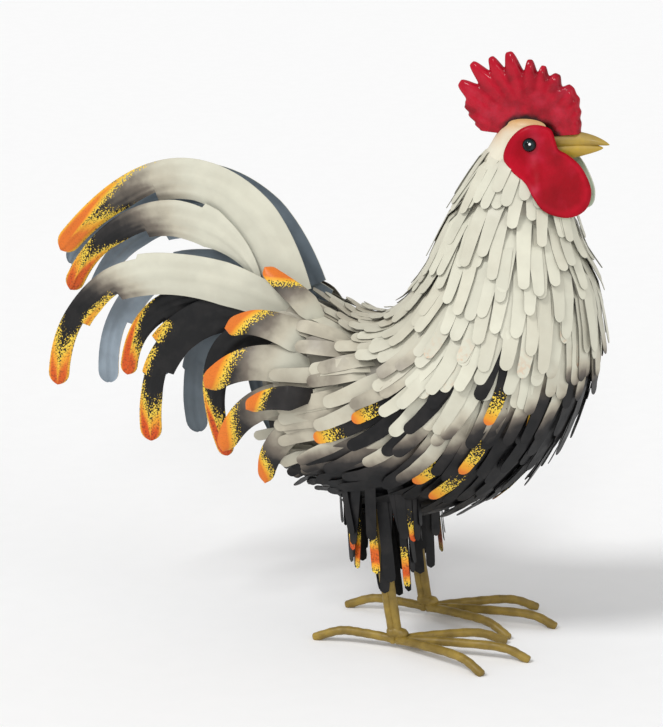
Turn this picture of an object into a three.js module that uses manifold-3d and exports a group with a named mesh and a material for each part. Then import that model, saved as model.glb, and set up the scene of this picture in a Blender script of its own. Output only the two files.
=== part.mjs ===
// Garden rooster ornament of painted sheet metal, standing on welded rod feet.
// Millimetres; X runs forward to the beak, Y to the bird's left, Z up from the ground.
import * as THREE from "three";
import { mergeVertices } from "three/addons/utils/BufferGeometryUtils.js";
import Module from "manifold-3d";

const { Manifold, Mesh: SolidMesh } = await Module().then((kit) => {
  kit.setup();
  return kit;
});

// Sheet metal and fits
const sheet = 1.0;
const fitGap = 0.3;

// Body and neck: rings from the crown of the head to the vent, and a last one just past it that only
// the feather tips reach. Each ring is an ellipse between a point on the back line and a point
// on the breast line, [x, z], with a half width along Y.
const rings = [
  { back: [160, 475], breast: [201, 474], halfWidth: 15 },
  { back: [149, 461], breast: [209, 446], halfWidth: 24 },
  { back: [115, 397], breast: [223, 374], halfWidth: 46 },
  { back: [90, 334], breast: [238, 325], halfWidth: 65 },
  { back: [60, 296], breast: [234, 256], halfWidth: 78 },
  { back: [27, 288], breast: [201, 195], halfWidth: 82 },
  { back: [0, 298], breast: [144, 145], halfWidth: 79 },
  { back: [-19, 306], breast: [68, 127], halfWidth: 67 },
  { back: [-31, 307], breast: [-4, 150], halfWidth: 45 },
  { back: [-76, 298], breast: [-52, 138], halfWidth: 36 },
];
const vent = 8.75;
const crown = [182, 482];
const neckSeam = 1.2;
const coreInset = 2.4;

// Feather rows: each row is one sheet slit into feathers, laid over the next row like shingles
const firstRow = 1.3;
const rowPitch = 0.5;
const rowCount = 13;
const featherPitch = 24;
const neckFeatherPitch = 15;
const neckRows = 3;
const featherLength = 62;
const rootLift = 1.6;
const rowStep = 3.0;
const mostRowsCovered = 2.3;
const lastFreeRow = 10;
const freeRowReach = 1.6;
const slitStart = 0.45;
const shoulderAt = 0.88;
const firstOpenRow = 9;
const openRowLimit = THREE.MathUtils.degToRad(122);

// Comb: points fan out from a centre above the eye, [angle in degrees, reach]
const combCentre = [185, 465];
const combPoints = [[145, 79], [131, 83], [119.5, 79], [108, 76], [94.5, 66.5], [83, 62], [70, 58.5], [53, 55.5]];
const combNotches = [65, 68, 63, 55.5, 54.5, 53, 50];
const combBaseThickness = 19;
const combTipThickness = 7;

// Face plate with wattle, outline [x, z] seen from the side
const faceOutline = [
  [189, 478], [204, 473], [209, 461], [220, 453], [231, 436], [237, 418], [232, 403], [222, 400],
  [209, 408], [197, 425], [187, 437], [172, 441], [164, 449], [168, 462], [177, 473],
];
const faceMiddle = [201, 445];
const faceThickness = 3;
const eyeCentre = [188, 462];
const eyeRadius = 5.6;

// Beak
const beakBase = 203;
const beakTip = [252, 461];
const beakBaseCentre = 461;
const beakHalfHeight = 13.5;
const beakHalfWidth = 9;

// Tail feathers of the right side: four curve points [x, z], half width, distance from the
// middle plane at root and tip, and how far forward its left twin sits
const tailFeathers = [
  { curve: [[-24, 314], [-68, 433], [-166, 450], [-260, 347]], halfWidth: 20, root: 17, tip: 8, leftShift: 4 },
  { curve: [[-60, 319], [-90, 392], [-204, 399], [-244, 301]], halfWidth: 18, root: 21, tip: 18, leftShift: 8 },
  { curve: [[-25, 297], [-110, 345], [-249, 350], [-250, 216]], halfWidth: 20, root: 27, tip: 38, leftShift: 13 },
  { curve: [[-24, 288], [-106, 315], [-184, 308], [-187, 227]], halfWidth: 14, root: 12, tip: 24, leftShift: 10 },
  { curve: [[-24, 285], [-112, 314], [-174, 264], [-160, 170]], halfWidth: 17, root: 20, tip: 36, leftShift: 10 },
  { curve: [[-22, 273], [-92, 295], [-118, 233], [-83, 165]], halfWidth: 14, root: 27, tip: 44, leftShift: 10 },
];
const tailCrease = 2;
const tailSegments = 8;
const leftTailDroop = THREE.MathUtils.degToRad(4);
const tailRoot = [-20, 300];
const pointedTailFeather = 1;

// Saddle feathers of the right side: root, middle and tip [x, y, z], half width, and how many
// degrees lower its left twin hangs
const saddleFeathers = [
  { path: [[14, -48, 296], [-18, -46, 319], [-50, -38, 339]], halfWidth: 12, leftDroop: 22 },
  { path: [[16, -72, 284], [-34, -66, 297], [-80, -58, 286]], halfWidth: 16, leftDroop: 9 },
  { path: [[10, -84, 256], [-46, -76, 262], [-97, -66, 233]], halfWidth: 18, leftDroop: 9 },
  { path: [[14, -93, 234], [-22, -89, 234], [-52, -83, 221]], halfWidth: 12, leftDroop: 9 },
  { path: [[-4, -83, 222], [-50, -72, 217], [-82, -62, 174]], halfWidth: 16, leftDroop: 9 },
  { path: [[2, -82, 194], [-28, -73, 184], [-42, -62, 148]], halfWidth: 13, leftDroop: 9 },
];

const saddleSegments = 5;

// Legs and feet of the right side
const ankle = [77, -48, 13];
const hip = [48, -47, 170];
const rodRadius = 4;
const shankRodSpacing = 6.6;
const toes = [
  { name: "outer_front_toe", heading: -27.5, length: 104 },
  { name: "middle_front_toe", heading: 0, length: 122 },
  { name: "inner_front_toe", heading: 25.5, length: 99 },
  { name: "hind_toe", heading: 180, length: 77 },
];
const toeHeight = 11;
const clawLength = 24;
const clawEndHeight = 2.3;

// Thigh feathers: two rings of hanging feathers round each leg
const thighRings = [
  { name: "upper", top: 205, slit: 140, tip: 100, radii: [47, 33], drawIn: 0.84, count: 11 },
  { name: "lower", top: 136, slit: 112, tip: 58, radii: [38, 26], drawIn: 0.72, count: 9 },
];
const thighCentre = [55, -46];
const thighSlant = 0.08;
const featherEnvelope = 11;

// A curve through the given values, one per ring, read at any place along the rings
function ringCurve(valuesOf) {
  const points = rings.map((ring) => new THREE.Vector3(...valuesOf(ring)));
  const curve = new THREE.CatmullRomCurve3(points, false, "catmullrom", 0.5);
  const last = rings.length - 1;
  return (place) => curve.getPoint(Math.min(Math.max(place / last, 0), 1));
}

const backLine = ringCurve((ring) => [ring.back[0], 0, ring.back[1]]);
const breastLine = ringCurve((ring) => [ring.breast[0], 0, ring.breast[1]]);
const widthLine = ringCurve((ring) => [0, ring.halfWidth, 0]);

// Point of the bare body surface; the angle is 0 on the breast and half a turn on the back
function skinPoint(place, angle) {
  const back = backLine(place);
  const breast = breastLine(place);
  const point = back.clone().add(breast).multiplyScalar(0.5);
  point.addScaledVector(breast.sub(back), 0.5 * Math.cos(angle));
  point.y = widthLine(place).y * Math.sin(angle);
  return point;
}

function skinAlong(place, angle) {
  const step = 0.02;
  return skinPoint(place + step, angle).sub(skinPoint(place - step, angle)).divideScalar(2 * step);
}

function skinAround(place, angle) {
  const step = 0.02;
  return skinPoint(place, angle + step).sub(skinPoint(place, angle - step)).divideScalar(2 * step);
}

// Body point raised off the surface along its outward normal
function bodyPoint(place, angle, lift) {
  const normal = skinAlong(place, angle).cross(skinAround(place, angle)).normalize();
  return skinPoint(place, angle).addScaledVector(normal, lift);
}

function geometryOf(points, triangles) {
  const geometry = new THREE.BufferGeometry();
  const numbers = points.flatMap((point) => [point.x, point.y, point.z]);
  geometry.setAttribute("position", new THREE.Float32BufferAttribute(numbers, 3));
  geometry.setIndex(triangles.flat());
  return geometry;
}

// Closed sheet from matching outer and inner points: the inner side is turned over and a wall
// closes every edge that belongs to only one triangle.
function sheetGeometry(outer, inner, triangles) {
  const count = outer.length;
  const faces = triangles.concat(triangles.map(([a, b, c]) => [c + count, b + count, a + count]));
  const edges = new Map();
  for (const [a, b, c] of triangles) {
    for (const [from, to] of [[a, b], [b, c], [c, a]]) {
      edges.set(from + "_" + to, [from, to]);
    }
  }
  for (const [from, to] of edges.values()) {
    if (!edges.has(to + "_" + from)) {
      faces.push([to, from, from + count], [to, from + count, to + count]);
    }
  }
  return geometryOf(outer.concat(inner), faces);
}

function solidOf(geometry) {
  let plain = geometry.clone();
  plain.deleteAttribute("normal");
  plain.deleteAttribute("uv");
  plain = mergeVertices(plain, 1e-4);
  return new Manifold(new SolidMesh({
    numProp: 3,
    vertProperties: new Float32Array(plain.attributes.position.array),
    triVerts: new Uint32Array(plain.index.array),
  }));
}

function geometryOfSolid(solid) {
  const pieces = solid.decompose();
  pieces.sort((a, b) => b.volume() - a.volume());
  const mesh = pieces[0].getMesh();
  const geometry = new THREE.BufferGeometry();
  geometry.setAttribute("position", new THREE.Float32BufferAttribute(Array.from(mesh.vertProperties), 3));
  geometry.setIndex(Array.from(mesh.triVerts));
  return geometry;
}

function trimmed(geometry, ...cutters) {
  let solid = solidOf(geometry);
  for (const cutter of cutters) {
    solid = solid.subtract(cutter);
  }
  return geometryOfSolid(solid);
}

// The same piece on the bird's left side
function mirrored(geometry) {
  const copy = geometry.clone();
  copy.scale(1, -1, 1);
  const order = copy.index.array;
  for (let k = 0; k < order.length; k += 3) {
    const held = order[k];
    order[k] = order[k + 1];
    order[k + 1] = held;
  }
  return copy;
}

// Closed loft over body rings, domed to a pole at each end
function loftGeometry(fromPlace, toPlace, steps, sides, lift, startPole, endPole) {
  const points = [];
  const triangles = [];
  for (let i = 0; i <= steps; i += 1) {
    const place = THREE.MathUtils.lerp(fromPlace, toPlace, i / steps);
    for (let j = 0; j < sides; j += 1) {
      points.push(bodyPoint(place, (2 * Math.PI * j) / sides, lift));
    }
  }
  for (let i = 0; i < steps; i += 1) {
    for (let j = 0; j < sides; j += 1) {
      const a = i * sides + j;
      const b = i * sides + ((j + 1) % sides);
      triangles.push([a, b + sides, b], [a, a + sides, b + sides]);
    }
  }
  const first = points.push(startPole) - 1;
  const last = points.push(endPole) - 1;
  const lastRing = steps * sides;
  for (let j = 0; j < sides; j += 1) {
    const next = (j + 1) % sides;
    triangles.push([first, j, next], [last, lastRing + next, lastRing + j]);
  }
  return geometryOf(points, triangles);
}

function ringMiddle(place) {
  return backLine(place).add(breastLine(place)).multiplyScalar(0.5);
}

function bodyLoft(lift, steps, sides) {
  const rear = ringMiddle(vent).add(new THREE.Vector3(-6 - lift, 0, 0));
  return loftGeometry(neckSeam, vent, steps, sides, lift - coreInset, ringMiddle(neckSeam), rear);
}

function headLoft(lift, seam) {
  const top = new THREE.Vector3(crown[0], 0, crown[1] + lift);
  return loftGeometry(0, seam, 4, 14, lift, top, ringMiddle(seam));
}

// One row of feathers: a band at the root, slit between feathers, each feather narrowing to a
// three-sided tip. The row lifts off the body steadily so that it clears the row below.
function featherRow(row) {
  const root = firstRow + row * rowPitch;
  const along = backLine(root).distanceTo(breastLine(root)) / 2;
  const across = widthLine(root).y;
  const girth = Math.PI * (3 * (along + across) - Math.sqrt((3 * along + across) * (along + 3 * across)));
  const pitch = THREE.MathUtils.lerp(neckFeatherPitch, featherPitch, Math.min(row / neckRows, 1));
  const count = Math.round(girth / pitch);
  const turn = (2 * Math.PI) / count;
  const limit = row >= firstOpenRow ? openRowLimit : 2 * Math.PI;
  const outer = [];
  const inner = [];
  const triangles = [];
  const add = (place, angle) => {
    const lift = rootLift + (rowStep * (place - root)) / rowPitch;
    outer.push(bodyPoint(place, angle, lift));
    return inner.push(bodyPoint(place, angle, lift - sheet)) - 1;
  };
  const reach = (angle) => {
    const speed = skinAlong(root + rowPitch, angle).length();
    const most = row >= lastFreeRow ? freeRowReach : mostRowsCovered * rowPitch;
    return Math.min(featherLength / speed, most);
  };
  const slits = new Map();
  const slitAt = (number) => {
    if (!slits.has(number)) {
      const angle = (number + 0.5 * (row % 2) - 0.5) * turn;
      slits.set(number, [add(root, angle), add(root + slitStart * reach(angle), angle)]);
    }
    return slits.get(number);
  };
  const closed = limit > Math.PI;
  const start = closed ? 0 : -Math.floor(limit / turn);
  const stop = closed ? count - 1 : Math.floor(limit / turn) - (row % 2);
  for (let j = start; j <= stop; j += 1) {
    const angle = (j + 0.5 * (row % 2)) * turn;
    const length = reach(angle);
    const shoulder = root + shoulderAt * length;
    const widest = 0.46 * turn;
    const half = Math.min((0.39 * pitch) / skinAround(shoulder, angle).length(), widest);
    const [rootLow, slitLow] = slitAt(j);
    const [rootHigh, slitHigh] = slitAt(closed ? (j + 1) % count : j + 1);
    const shoulderLow = add(shoulder, angle - half);
    const tip = add(root + length, angle);
    const shoulderHigh = add(shoulder, angle + half);
    triangles.push(
      [rootLow, slitHigh, rootHigh],
      [rootLow, slitLow, slitHigh],
      [slitLow, shoulderHigh, slitHigh],
      [slitLow, shoulderLow, shoulderHigh],
      [shoulderLow, tip, shoulderHigh],
    );
  }
  return sheetGeometry(outer, inner, triangles);
}

// Comb outline from its fan of points and the notches between them, closed along the crown
function combGeometry() {
  const at = (degrees, reach) => {
    const angle = THREE.MathUtils.degToRad(degrees);
    return [combCentre[0] + reach * Math.cos(angle), combCentre[1] + reach * Math.sin(angle)];
  };
  const corners = [at(172, 50), at(158, 70)];
  combPoints.forEach(([degrees, reach], k) => {
    corners.push(at(degrees + 2.2, reach - 1), at(degrees - 2.2, reach));
    if (k < combNotches.length) {
      const middle = (degrees + combPoints[k + 1][0]) / 2;
      corners.push(at(middle, combNotches[k]));
    }
  });
  corners.push(at(30, 48), at(10, 42), at(2, 40), at(90, 2));
  const shape = new THREE.Shape(corners.map(([x, z]) => new THREE.Vector2(x, z)));
  const geometry = new THREE.ExtrudeGeometry(shape, {
    depth: 1, bevelEnabled: false, curveSegments: 1,
  });
  geometry.translate(0, 0, -0.5);
  geometry.rotateX(Math.PI / 2);
  const places = geometry.attributes.position;
  for (let k = 0; k < places.count; k += 1) {
    const fromCentre = Math.hypot(places.getX(k) - combCentre[0], places.getZ(k) - combCentre[1]);
    const thickness = THREE.MathUtils.mapLinear(Math.min(fromCentre, 85), 0, 85, combBaseThickness, combTipThickness);
    places.setY(k, places.getY(k) * thickness);
  }
  return geometry;
}

// Distance of the face plate from the middle plane: full on the cheek, closing towards the beak
// and flaring where the wattle hangs over the neck
function faceDepth(x, z) {
  const forward = Math.max(x - eyeCentre[0], 0);
  const backward = Math.max(eyeCentre[0] - x, 0);
  const below = Math.max(455 - z, 0) * THREE.MathUtils.clamp((x - 165) / 30, 0, 1);
  return Math.max(27 - 0.62 * forward - 0.12 * backward + 0.58 * below, 6);
}

function faceGeometry() {
  const outline = new THREE.CatmullRomCurve3(
    faceOutline.map(([x, z]) => new THREE.Vector3(x, 0, z)), true, "catmullrom", 0.5);
  const sides = 18;
  const ringsOut = [0.62, 1];
  const outer = [];
  const inner = [];
  const triangles = [];
  const add = (x, z, share) => {
    const dome = 4 * (1 - share * share);
    const depth = faceDepth(x, z);
    outer.push(new THREE.Vector3(x, -depth - dome, z));
    return inner.push(new THREE.Vector3(x, -depth - dome + faceThickness, z)) - 1;
  };
  const middle = add(faceMiddle[0], faceMiddle[1], 0);
  const numbers = ringsOut.map((share) => {
    return Array.from({ length: sides }, (unused, k) => {
      const edge = outline.getPoint(k / sides);
      const x = THREE.MathUtils.lerp(faceMiddle[0], edge.x, share);
      const z = THREE.MathUtils.lerp(faceMiddle[1], edge.z, share);
      return add(x, z, share);
    });
  });
  for (let k = 0; k < sides; k += 1) {
    const next = (k + 1) % sides;
    triangles.push([middle, numbers[0][next], numbers[0][k]]);
    for (let ring = 1; ring < numbers.length; ring += 1) {
      const near = numbers[ring - 1];
      const far = numbers[ring];
      triangles.push([near[k], near[next], far[next]], [near[k], far[next], far[k]]);
    }
  }
  return sheetGeometry(outer, inner, triangles);
}

// Beak: eight-sided sections closing to a blunt point
function beakGeometry(extra) {
  const sides = 8;
  const steps = 5;
  const points = [];
  const triangles = [];
  for (let i = 0; i <= steps; i += 1) {
    const share = i / steps;
    const size = Math.pow(1 - 0.93 * share, 0.75);
    const x = THREE.MathUtils.lerp(beakBase, beakTip[0] - 1, share);
    const z = THREE.MathUtils.lerp(beakBaseCentre, beakTip[1] - 1, share) + 2.2 * Math.sin(Math.PI * share) * share;
    for (let j = 0; j < sides; j += 1) {
      const angle = (2 * Math.PI * j) / sides;
      const y = (beakHalfWidth * size + extra) * Math.cos(angle);
      points.push(new THREE.Vector3(x, y, z + (beakHalfHeight * size + extra) * Math.sin(angle)));
    }
  }
  const first = points.push(new THREE.Vector3(beakBase - 1, 0, beakBaseCentre)) - 1;
  const last = points.push(new THREE.Vector3(beakTip[0], 0, beakTip[1] - 1)) - 1;
  for (let j = 0; j < sides; j += 1) {
    const next = (j + 1) % sides;
    triangles.push([first, next, j], [last, steps * sides + j, steps * sides + next]);
    for (let i = 0; i < steps; i += 1) {
      const a = i * sides + j;
      const b = i * sides + next;
      triangles.push([a, b, b + sides], [a, b + sides, a + sides]);
    }
  }
  return geometryOf(points, triangles);
}

// Long feather: a strip along a path, creased down its middle if asked, with a round tip
function featherStrip(pathAt, normalAt, halfWidth, segments, crease, pointed) {
  const columns = crease > 0 ? [-1, 0, 1] : [-1, 1];
  const width = columns.length;
  const outer = [];
  const inner = [];
  const triangles = [];
  for (let i = 0; i <= segments; i += 1) {
    const share = i / segments;
    const centre = pathAt(share);
    const along = pathAt(Math.min(share + 0.01, 1)).sub(pathAt(Math.max(share - 0.01, 0))).normalize();
    const normal = normalAt(share, centre);
    normal.addScaledVector(along, -normal.dot(along)).normalize();
    const side = normal.clone().cross(along);
    const rootShare = pointed ? Math.min(1, 0.12 + share / 0.35) : Math.min(1, 0.62 + share / 0.6);
    const tipShare = Math.sqrt(Math.max(1 - Math.pow(share, 7), 0.05));
    const half = halfWidth * rootShare * tipShare * (1 - 0.28 * share);
    for (const across of columns) {
      const place = centre.clone().addScaledVector(side, across * half);
      place.addScaledVector(normal, crease * (1 - Math.abs(across)));
      outer.push(place.clone().addScaledVector(normal, sheet / 2));
      inner.push(place.addScaledVector(normal, -sheet / 2));
    }
  }
  for (let i = 0; i < segments; i += 1) {
    for (let j = 0; j < width - 1; j += 1) {
      const a = width * i + j;
      triangles.push([a, a + width, a + width + 1], [a, a + width + 1, a + 1]);
    }
  }
  return sheetGeometry(outer, inner, triangles);
}

function tailFeather(feather, number) {
  const flat = new THREE.CubicBezierCurve3(...feather.curve.map(([x, z]) => new THREE.Vector3(x, 0, z)));
  const pathAt = (share) => {
    const point = flat.getPoint(share);
    point.y = -THREE.MathUtils.lerp(feather.root, feather.tip, share);
    return point;
  };
  const normalAt = () => new THREE.Vector3(0, -1, 0);
  return featherStrip(pathAt, normalAt, feather.halfWidth, tailSegments, tailCrease,
    number === pointedTailFeather);
}

function saddleFeather(feather) {
  const [root, middle, tip] = feather.path.map((place) => new THREE.Vector3(...place));
  const control = middle.clone().multiplyScalar(2).addScaledVector(root, -0.5).addScaledVector(tip, -0.5);
  const curve = new THREE.QuadraticBezierCurve3(root, control, tip);
  const normalAt = (share, centre) => new THREE.Vector3(0, -1, 0.012 * (centre.z - 235));
  return featherStrip((share) => curve.getPoint(share), normalAt, feather.halfWidth, saddleSegments, 0, false);
}

// Rod along a path: a round section swept by extrusion
function rodGeometry(path, radius, steps, sides) {
  const section = new THREE.Shape();
  for (let k = 0; k < sides; k += 1) {
    const angle = (2 * Math.PI * (k + 0.5)) / sides;
    const place = [radius * Math.cos(angle), radius * Math.sin(angle)];
    if (k === 0) {
      section.moveTo(...place);
    } else {
      section.lineTo(...place);
    }
  }
  return new THREE.ExtrudeGeometry(section, { steps, extrudePath: path, bevelEnabled: false, curveSegments: 1 });
}

// Toe: a rod leaving the ankle nearly level, with the claw end bent down to the ground
function toeGeometry(toe, radius) {
  const heading = THREE.MathUtils.degToRad(toe.heading);
  const at = (distance, height) => new THREE.Vector3(
    ankle[0] + distance * Math.cos(heading), ankle[1] + distance * Math.sin(heading), height);
  const path = new THREE.CatmullRomCurve3([
    at(2, toeHeight - 2.5),
    at(0.4 * toe.length, toeHeight),
    at(toe.length - clawLength, toeHeight),
    at(toe.length, clawEndHeight),
  ]);
  return rodGeometry(path, radius, 5, 6);
}

// Shank: two rods side by side, welded into one
function shankGeometry(extra) {
  const offset = shankRodSpacing / 2;
  const rods = [-offset, offset].map((shift) => {
    const path = new THREE.CatmullRomCurve3([
      new THREE.Vector3(hip[0] + 0.6 * shift, hip[1], hip[2]),
      new THREE.Vector3((hip[0] + ankle[0]) / 2 + shift, (hip[1] + ankle[1]) / 2, (hip[2] + ankle[2]) / 2),
      new THREE.Vector3(ankle[0] + shift, ankle[1], ankle[2] - 7),
    ]);
    return solidOf(rodGeometry(path, rodRadius + extra, 2, 6));
  });
  return rods[0].add(rods[1]);
}

// Ring of thigh feathers hanging round the shank, drawn in towards the tips
function thighGeometry(ring) {
  const outer = [];
  const inner = [];
  const triangles = [];
  const turn = (2 * Math.PI) / ring.count;
  const add = (angle, height) => {
    const fall = (ring.top - height) / (ring.top - ring.tip);
    const scale = THREE.MathUtils.lerp(1, ring.drawIn, fall);
    const shift = thighSlant * (thighRings[0].top - height);
    const place = (thickness) => new THREE.Vector3(
      thighCentre[0] + shift + (ring.radii[0] * scale - thickness) * Math.cos(angle),
      thighCentre[1] + (ring.radii[1] * scale - thickness) * Math.sin(angle),
      height);
    outer.push(place(0));
    return inner.push(place(1.4)) - 1;
  };
  const slits = Array.from({ length: ring.count }, (unused, k) => {
    return [add((k - 0.5) * turn, ring.top), add((k - 0.5) * turn, ring.slit)];
  });
  for (let k = 0; k < ring.count; k += 1) {
    const angle = k * turn;
    const uneven = 6 * Math.sin(2.3 * k);
    const shoulder = THREE.MathUtils.lerp(ring.slit, ring.tip, 0.72) + uneven;
    const [topLow, slitLow] = slits[k];
    const [topHigh, slitHigh] = slits[(k + 1) % ring.count];
    const shoulderLow = add(angle - 0.36 * turn, shoulder);
    const tip = add(angle, ring.tip + uneven);
    const shoulderHigh = add(angle + 0.36 * turn, shoulder);
    triangles.push(
      [topLow, slitHigh, topHigh],
      [topLow, slitLow, slitHigh],
      [slitLow, shoulderHigh, slitHigh],
      [slitLow, shoulderLow, shoulderHigh],
      [shoulderLow, tip, shoulderHigh],
    );
  }
  return sheetGeometry(outer, inner, triangles);
}

const bird = new THREE.Group();
bird.name = "garden_rooster_ornament";

const colours = {
  plumage: 0xdcd8c8, dark: 0x2b2a2c, comb: 0xb01c2c, beak: 0xa8963c, legs: 0x96803a, eye: 0x101820,
};

function place(name, geometry, colour, gloss) {
  const material = new THREE.MeshStandardMaterial({ color: colour, metalness: 0, roughness: gloss });
  material.name = name + "_paint";
  const piece = new THREE.Mesh(geometry, material);
  piece.name = name;
  bird.add(piece);
  return piece;
}

function placePair(name, right, left, colour, gloss) {
  place("right_" + name, right, colour, gloss);
  place("left_" + name, left, colour, gloss);
}

// Head, comb, beak, face plates and eyes
const headClear = solidOf(headLoft(fitGap, neckSeam + 0.1));
const coreClear = solidOf(bodyLoft(fitGap, 13, 14));
place("body_core", bodyLoft(0, 13, 14), colours.plumage, 0.5);
place("head", headLoft(0, neckSeam - 0.01), colours.plumage, 0.45);
const beakClear = solidOf(beakGeometry(fitGap));
place("comb", trimmed(combGeometry(), headClear, beakClear), colours.comb, 0.35);
const mouth = new THREE.BoxGeometry(24, 40, 1);
mouth.rotateY(THREE.MathUtils.degToRad(9));
mouth.translate(beakTip[0] - 4, 0, beakTip[1] - 4.6);
const beak = trimmed(beakGeometry(0), headClear, solidOf(mouth));
place("beak", beak, colours.beak, 0.45);

const eyeBall = new THREE.SphereGeometry(eyeRadius, 8, 6);
eyeBall.translate(eyeCentre[0], -27.5, eyeCentre[1]);
const eyeSocket = new THREE.SphereGeometry(eyeRadius + fitGap, 8, 6);
eyeSocket.translate(eyeCentre[0], -27.5, eyeCentre[1]);
const face = trimmed(faceGeometry(), headClear, coreClear, solidOf(eyeSocket));
placePair("face_and_wattle", face, mirrored(face), colours.comb, 0.35);
const eye = trimmed(eyeBall, headClear);
placePair("eye", eye, mirrored(eye), colours.eye, 0.15);

// Legs: shanks reach the body, toes are trimmed where they meet
const shank = shankGeometry(0);
const shankClear = shankGeometry(fitGap);
const shankClearLeft = solidOf(mirrored(geometryOfSolid(shankClear)));
const ground = new THREE.BoxGeometry(2000, 2000, 100);
ground.translate(0, 0, -50);
const groundSolid = solidOf(ground);
const shankPiece = geometryOfSolid(shank.subtract(coreClear).subtract(groundSolid));
placePair("shank", shankPiece, mirrored(shankPiece), colours.legs, 0.55);
const toesClear = [];
for (const number of [1, 0, 2, 3]) {
  const toe = toes[number];
  const piece = trimmed(toeGeometry(toe, rodRadius), shankClear, groundSolid, ...toesClear);
  toesClear.push(solidOf(toeGeometry(toe, rodRadius + fitGap)));
  placePair(toe.name, piece, mirrored(piece), colours.legs, 0.55);
}

// Thigh feathers start below the feathers of the belly
const envelope = solidOf(bodyLoft(featherEnvelope + coreInset, 12, 14));
for (const ring of thighRings) {
  const piece = trimmed(thighGeometry(ring), envelope);
  placePair("thigh_feathers_" + ring.name, piece, mirrored(piece), colours.dark, 0.5);
}

// Feather rows, opened where the shanks pass
for (let row = 0; row < rowCount; row += 1) {
  let piece = featherRow(row);
  if (row >= 7) {
    piece = trimmed(piece, shankClear, shankClearLeft);
  }
  place("feather_row_" + (row + 1), piece, colours.plumage, 0.5);
}

// Tail and saddle
tailFeathers.forEach((feather, k) => {
  const flat = tailFeather(feather, k);
  const left = mirrored(flat);
  left.translate(-tailRoot[0], 0, -tailRoot[1]);
  left.rotateY(-leftTailDroop);
  left.translate(tailRoot[0] + feather.leftShift, 0, tailRoot[1]);
  const colour = k < 3 ? colours.plumage : colours.dark;
  placePair("tail_feather_" + (k + 1), trimmed(flat, coreClear), trimmed(left, coreClear), colour, 0.5);
});
saddleFeathers.forEach((feather, k) => {
  const piece = saddleFeather(feather);
  const left = mirrored(piece);
  const [rootX, , rootZ] = feather.path[0];
  left.translate(-rootX, 0, -rootZ);
  left.rotateY(THREE.MathUtils.degToRad(-feather.leftDroop));
  left.translate(rootX, 0, rootZ);
  placePair("saddle_feather_" + (k + 1), piece, left, colours.plumage, 0.5);
});

// Stand the bird over the middle of its own box
const box = new THREE.Box3().setFromObject(bird);
const middle = box.getCenter(new THREE.Vector3());
for (const piece of bird.children) {
  piece.geometry.translate(-middle.x, -middle.y, -box.min.z);
}

export default bird;
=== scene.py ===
import bpy
import numpy as np
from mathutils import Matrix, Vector


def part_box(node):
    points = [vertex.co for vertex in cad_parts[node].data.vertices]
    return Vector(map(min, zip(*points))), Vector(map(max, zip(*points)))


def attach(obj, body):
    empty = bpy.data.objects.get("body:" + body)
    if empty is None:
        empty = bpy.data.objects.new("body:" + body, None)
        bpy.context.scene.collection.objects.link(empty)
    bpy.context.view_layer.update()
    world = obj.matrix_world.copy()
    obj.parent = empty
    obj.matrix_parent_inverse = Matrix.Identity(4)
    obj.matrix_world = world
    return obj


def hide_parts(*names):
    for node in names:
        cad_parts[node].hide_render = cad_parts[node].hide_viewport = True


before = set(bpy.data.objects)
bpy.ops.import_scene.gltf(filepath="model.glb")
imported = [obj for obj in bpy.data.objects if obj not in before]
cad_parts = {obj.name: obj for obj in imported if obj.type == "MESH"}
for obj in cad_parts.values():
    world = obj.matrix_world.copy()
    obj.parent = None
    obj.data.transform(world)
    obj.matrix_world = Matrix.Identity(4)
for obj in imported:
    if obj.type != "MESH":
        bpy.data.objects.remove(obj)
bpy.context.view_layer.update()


# Body shell
# The hollow sheet-steel body that carries every feather, rolled and welded in rings from the neck
# to the vent. It only shows between the feathers, and its colour is painted shade for those gaps.

ring_back = [(160, 475), (149, 461), (115, 397), (90, 334), (60, 296),
             (27, 288), (0, 298), (-19, 306), (-31, 307), (-76, 298)]
ring_breast = [(201, 474), (209, 446), (223, 374), (238, 325), (234, 256),
               (201, 195), (144, 145), (68, 127), (-4, 150), (-52, 138)]
ring_half_width = [15, 24, 46, 65, 78, 82, 79, 67, 45, 36]
neck_seam = 1.2
vent = 8.75
vent_bulge = 6
shell_inset = 2.4
forward_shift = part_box("beak")[1].x * 1000.0 - 252.0


def along_rings(values, place):
    """Catmull-Rom curve through one value per ring: a cubic between two rings whose slope at each
    ring is half the difference of its neighbours."""
    values = np.asarray(values, float).reshape(len(values), -1)
    padded = np.vstack([2 * values[0] - values[1], values, 2 * values[-1] - values[-2]])
    place = np.clip(place, 0, len(values) - 1)
    first = np.minimum(place.astype(int), len(values) - 2)
    t = (place - first)[..., None]
    a, b, c, d = padded[first], padded[first + 1], padded[first + 2], padded[first + 3]
    return b + 0.5 * t * (c - a + t * (2 * a - 5 * b + 4 * c - d + t * (3 * (b - c) + d - a)))


def skin(place, angle):
    """Bare body: an ellipse for each ring, the middle of back and breast plus the cosine of the angle
    times half the way between them, and the sine of the angle times the half width sideways."""
    place, angle = np.broadcast_arrays(np.asarray(place, float), np.asarray(angle, float))
    back = along_rings(ring_back, place)
    breast = along_rings(ring_breast, place)
    flat = 0.5 * (back + breast) + 0.5 * (breast - back) * np.cos(angle)[..., None]
    side = along_rings(ring_half_width, place)[..., 0] * np.sin(angle)
    return np.stack([flat[..., 0], side, flat[..., 1]], axis=-1)


def unit(vectors):
    """Each vector divided by its own length."""
    return vectors / np.maximum(np.linalg.norm(vectors, axis=-1, keepdims=True), 1e-9)


def skin_slopes(place, angle):
    """Millimetres run along the body for each ring, and round it for each radian: the difference of two
    points a small step to either side, divided by the way between them."""
    step = 0.02
    along = skin(place + step, angle) - skin(place - step, angle)
    around = skin(place, angle + step) - skin(place, angle - step)
    return along / (2 * step), around / (2 * step)


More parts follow.
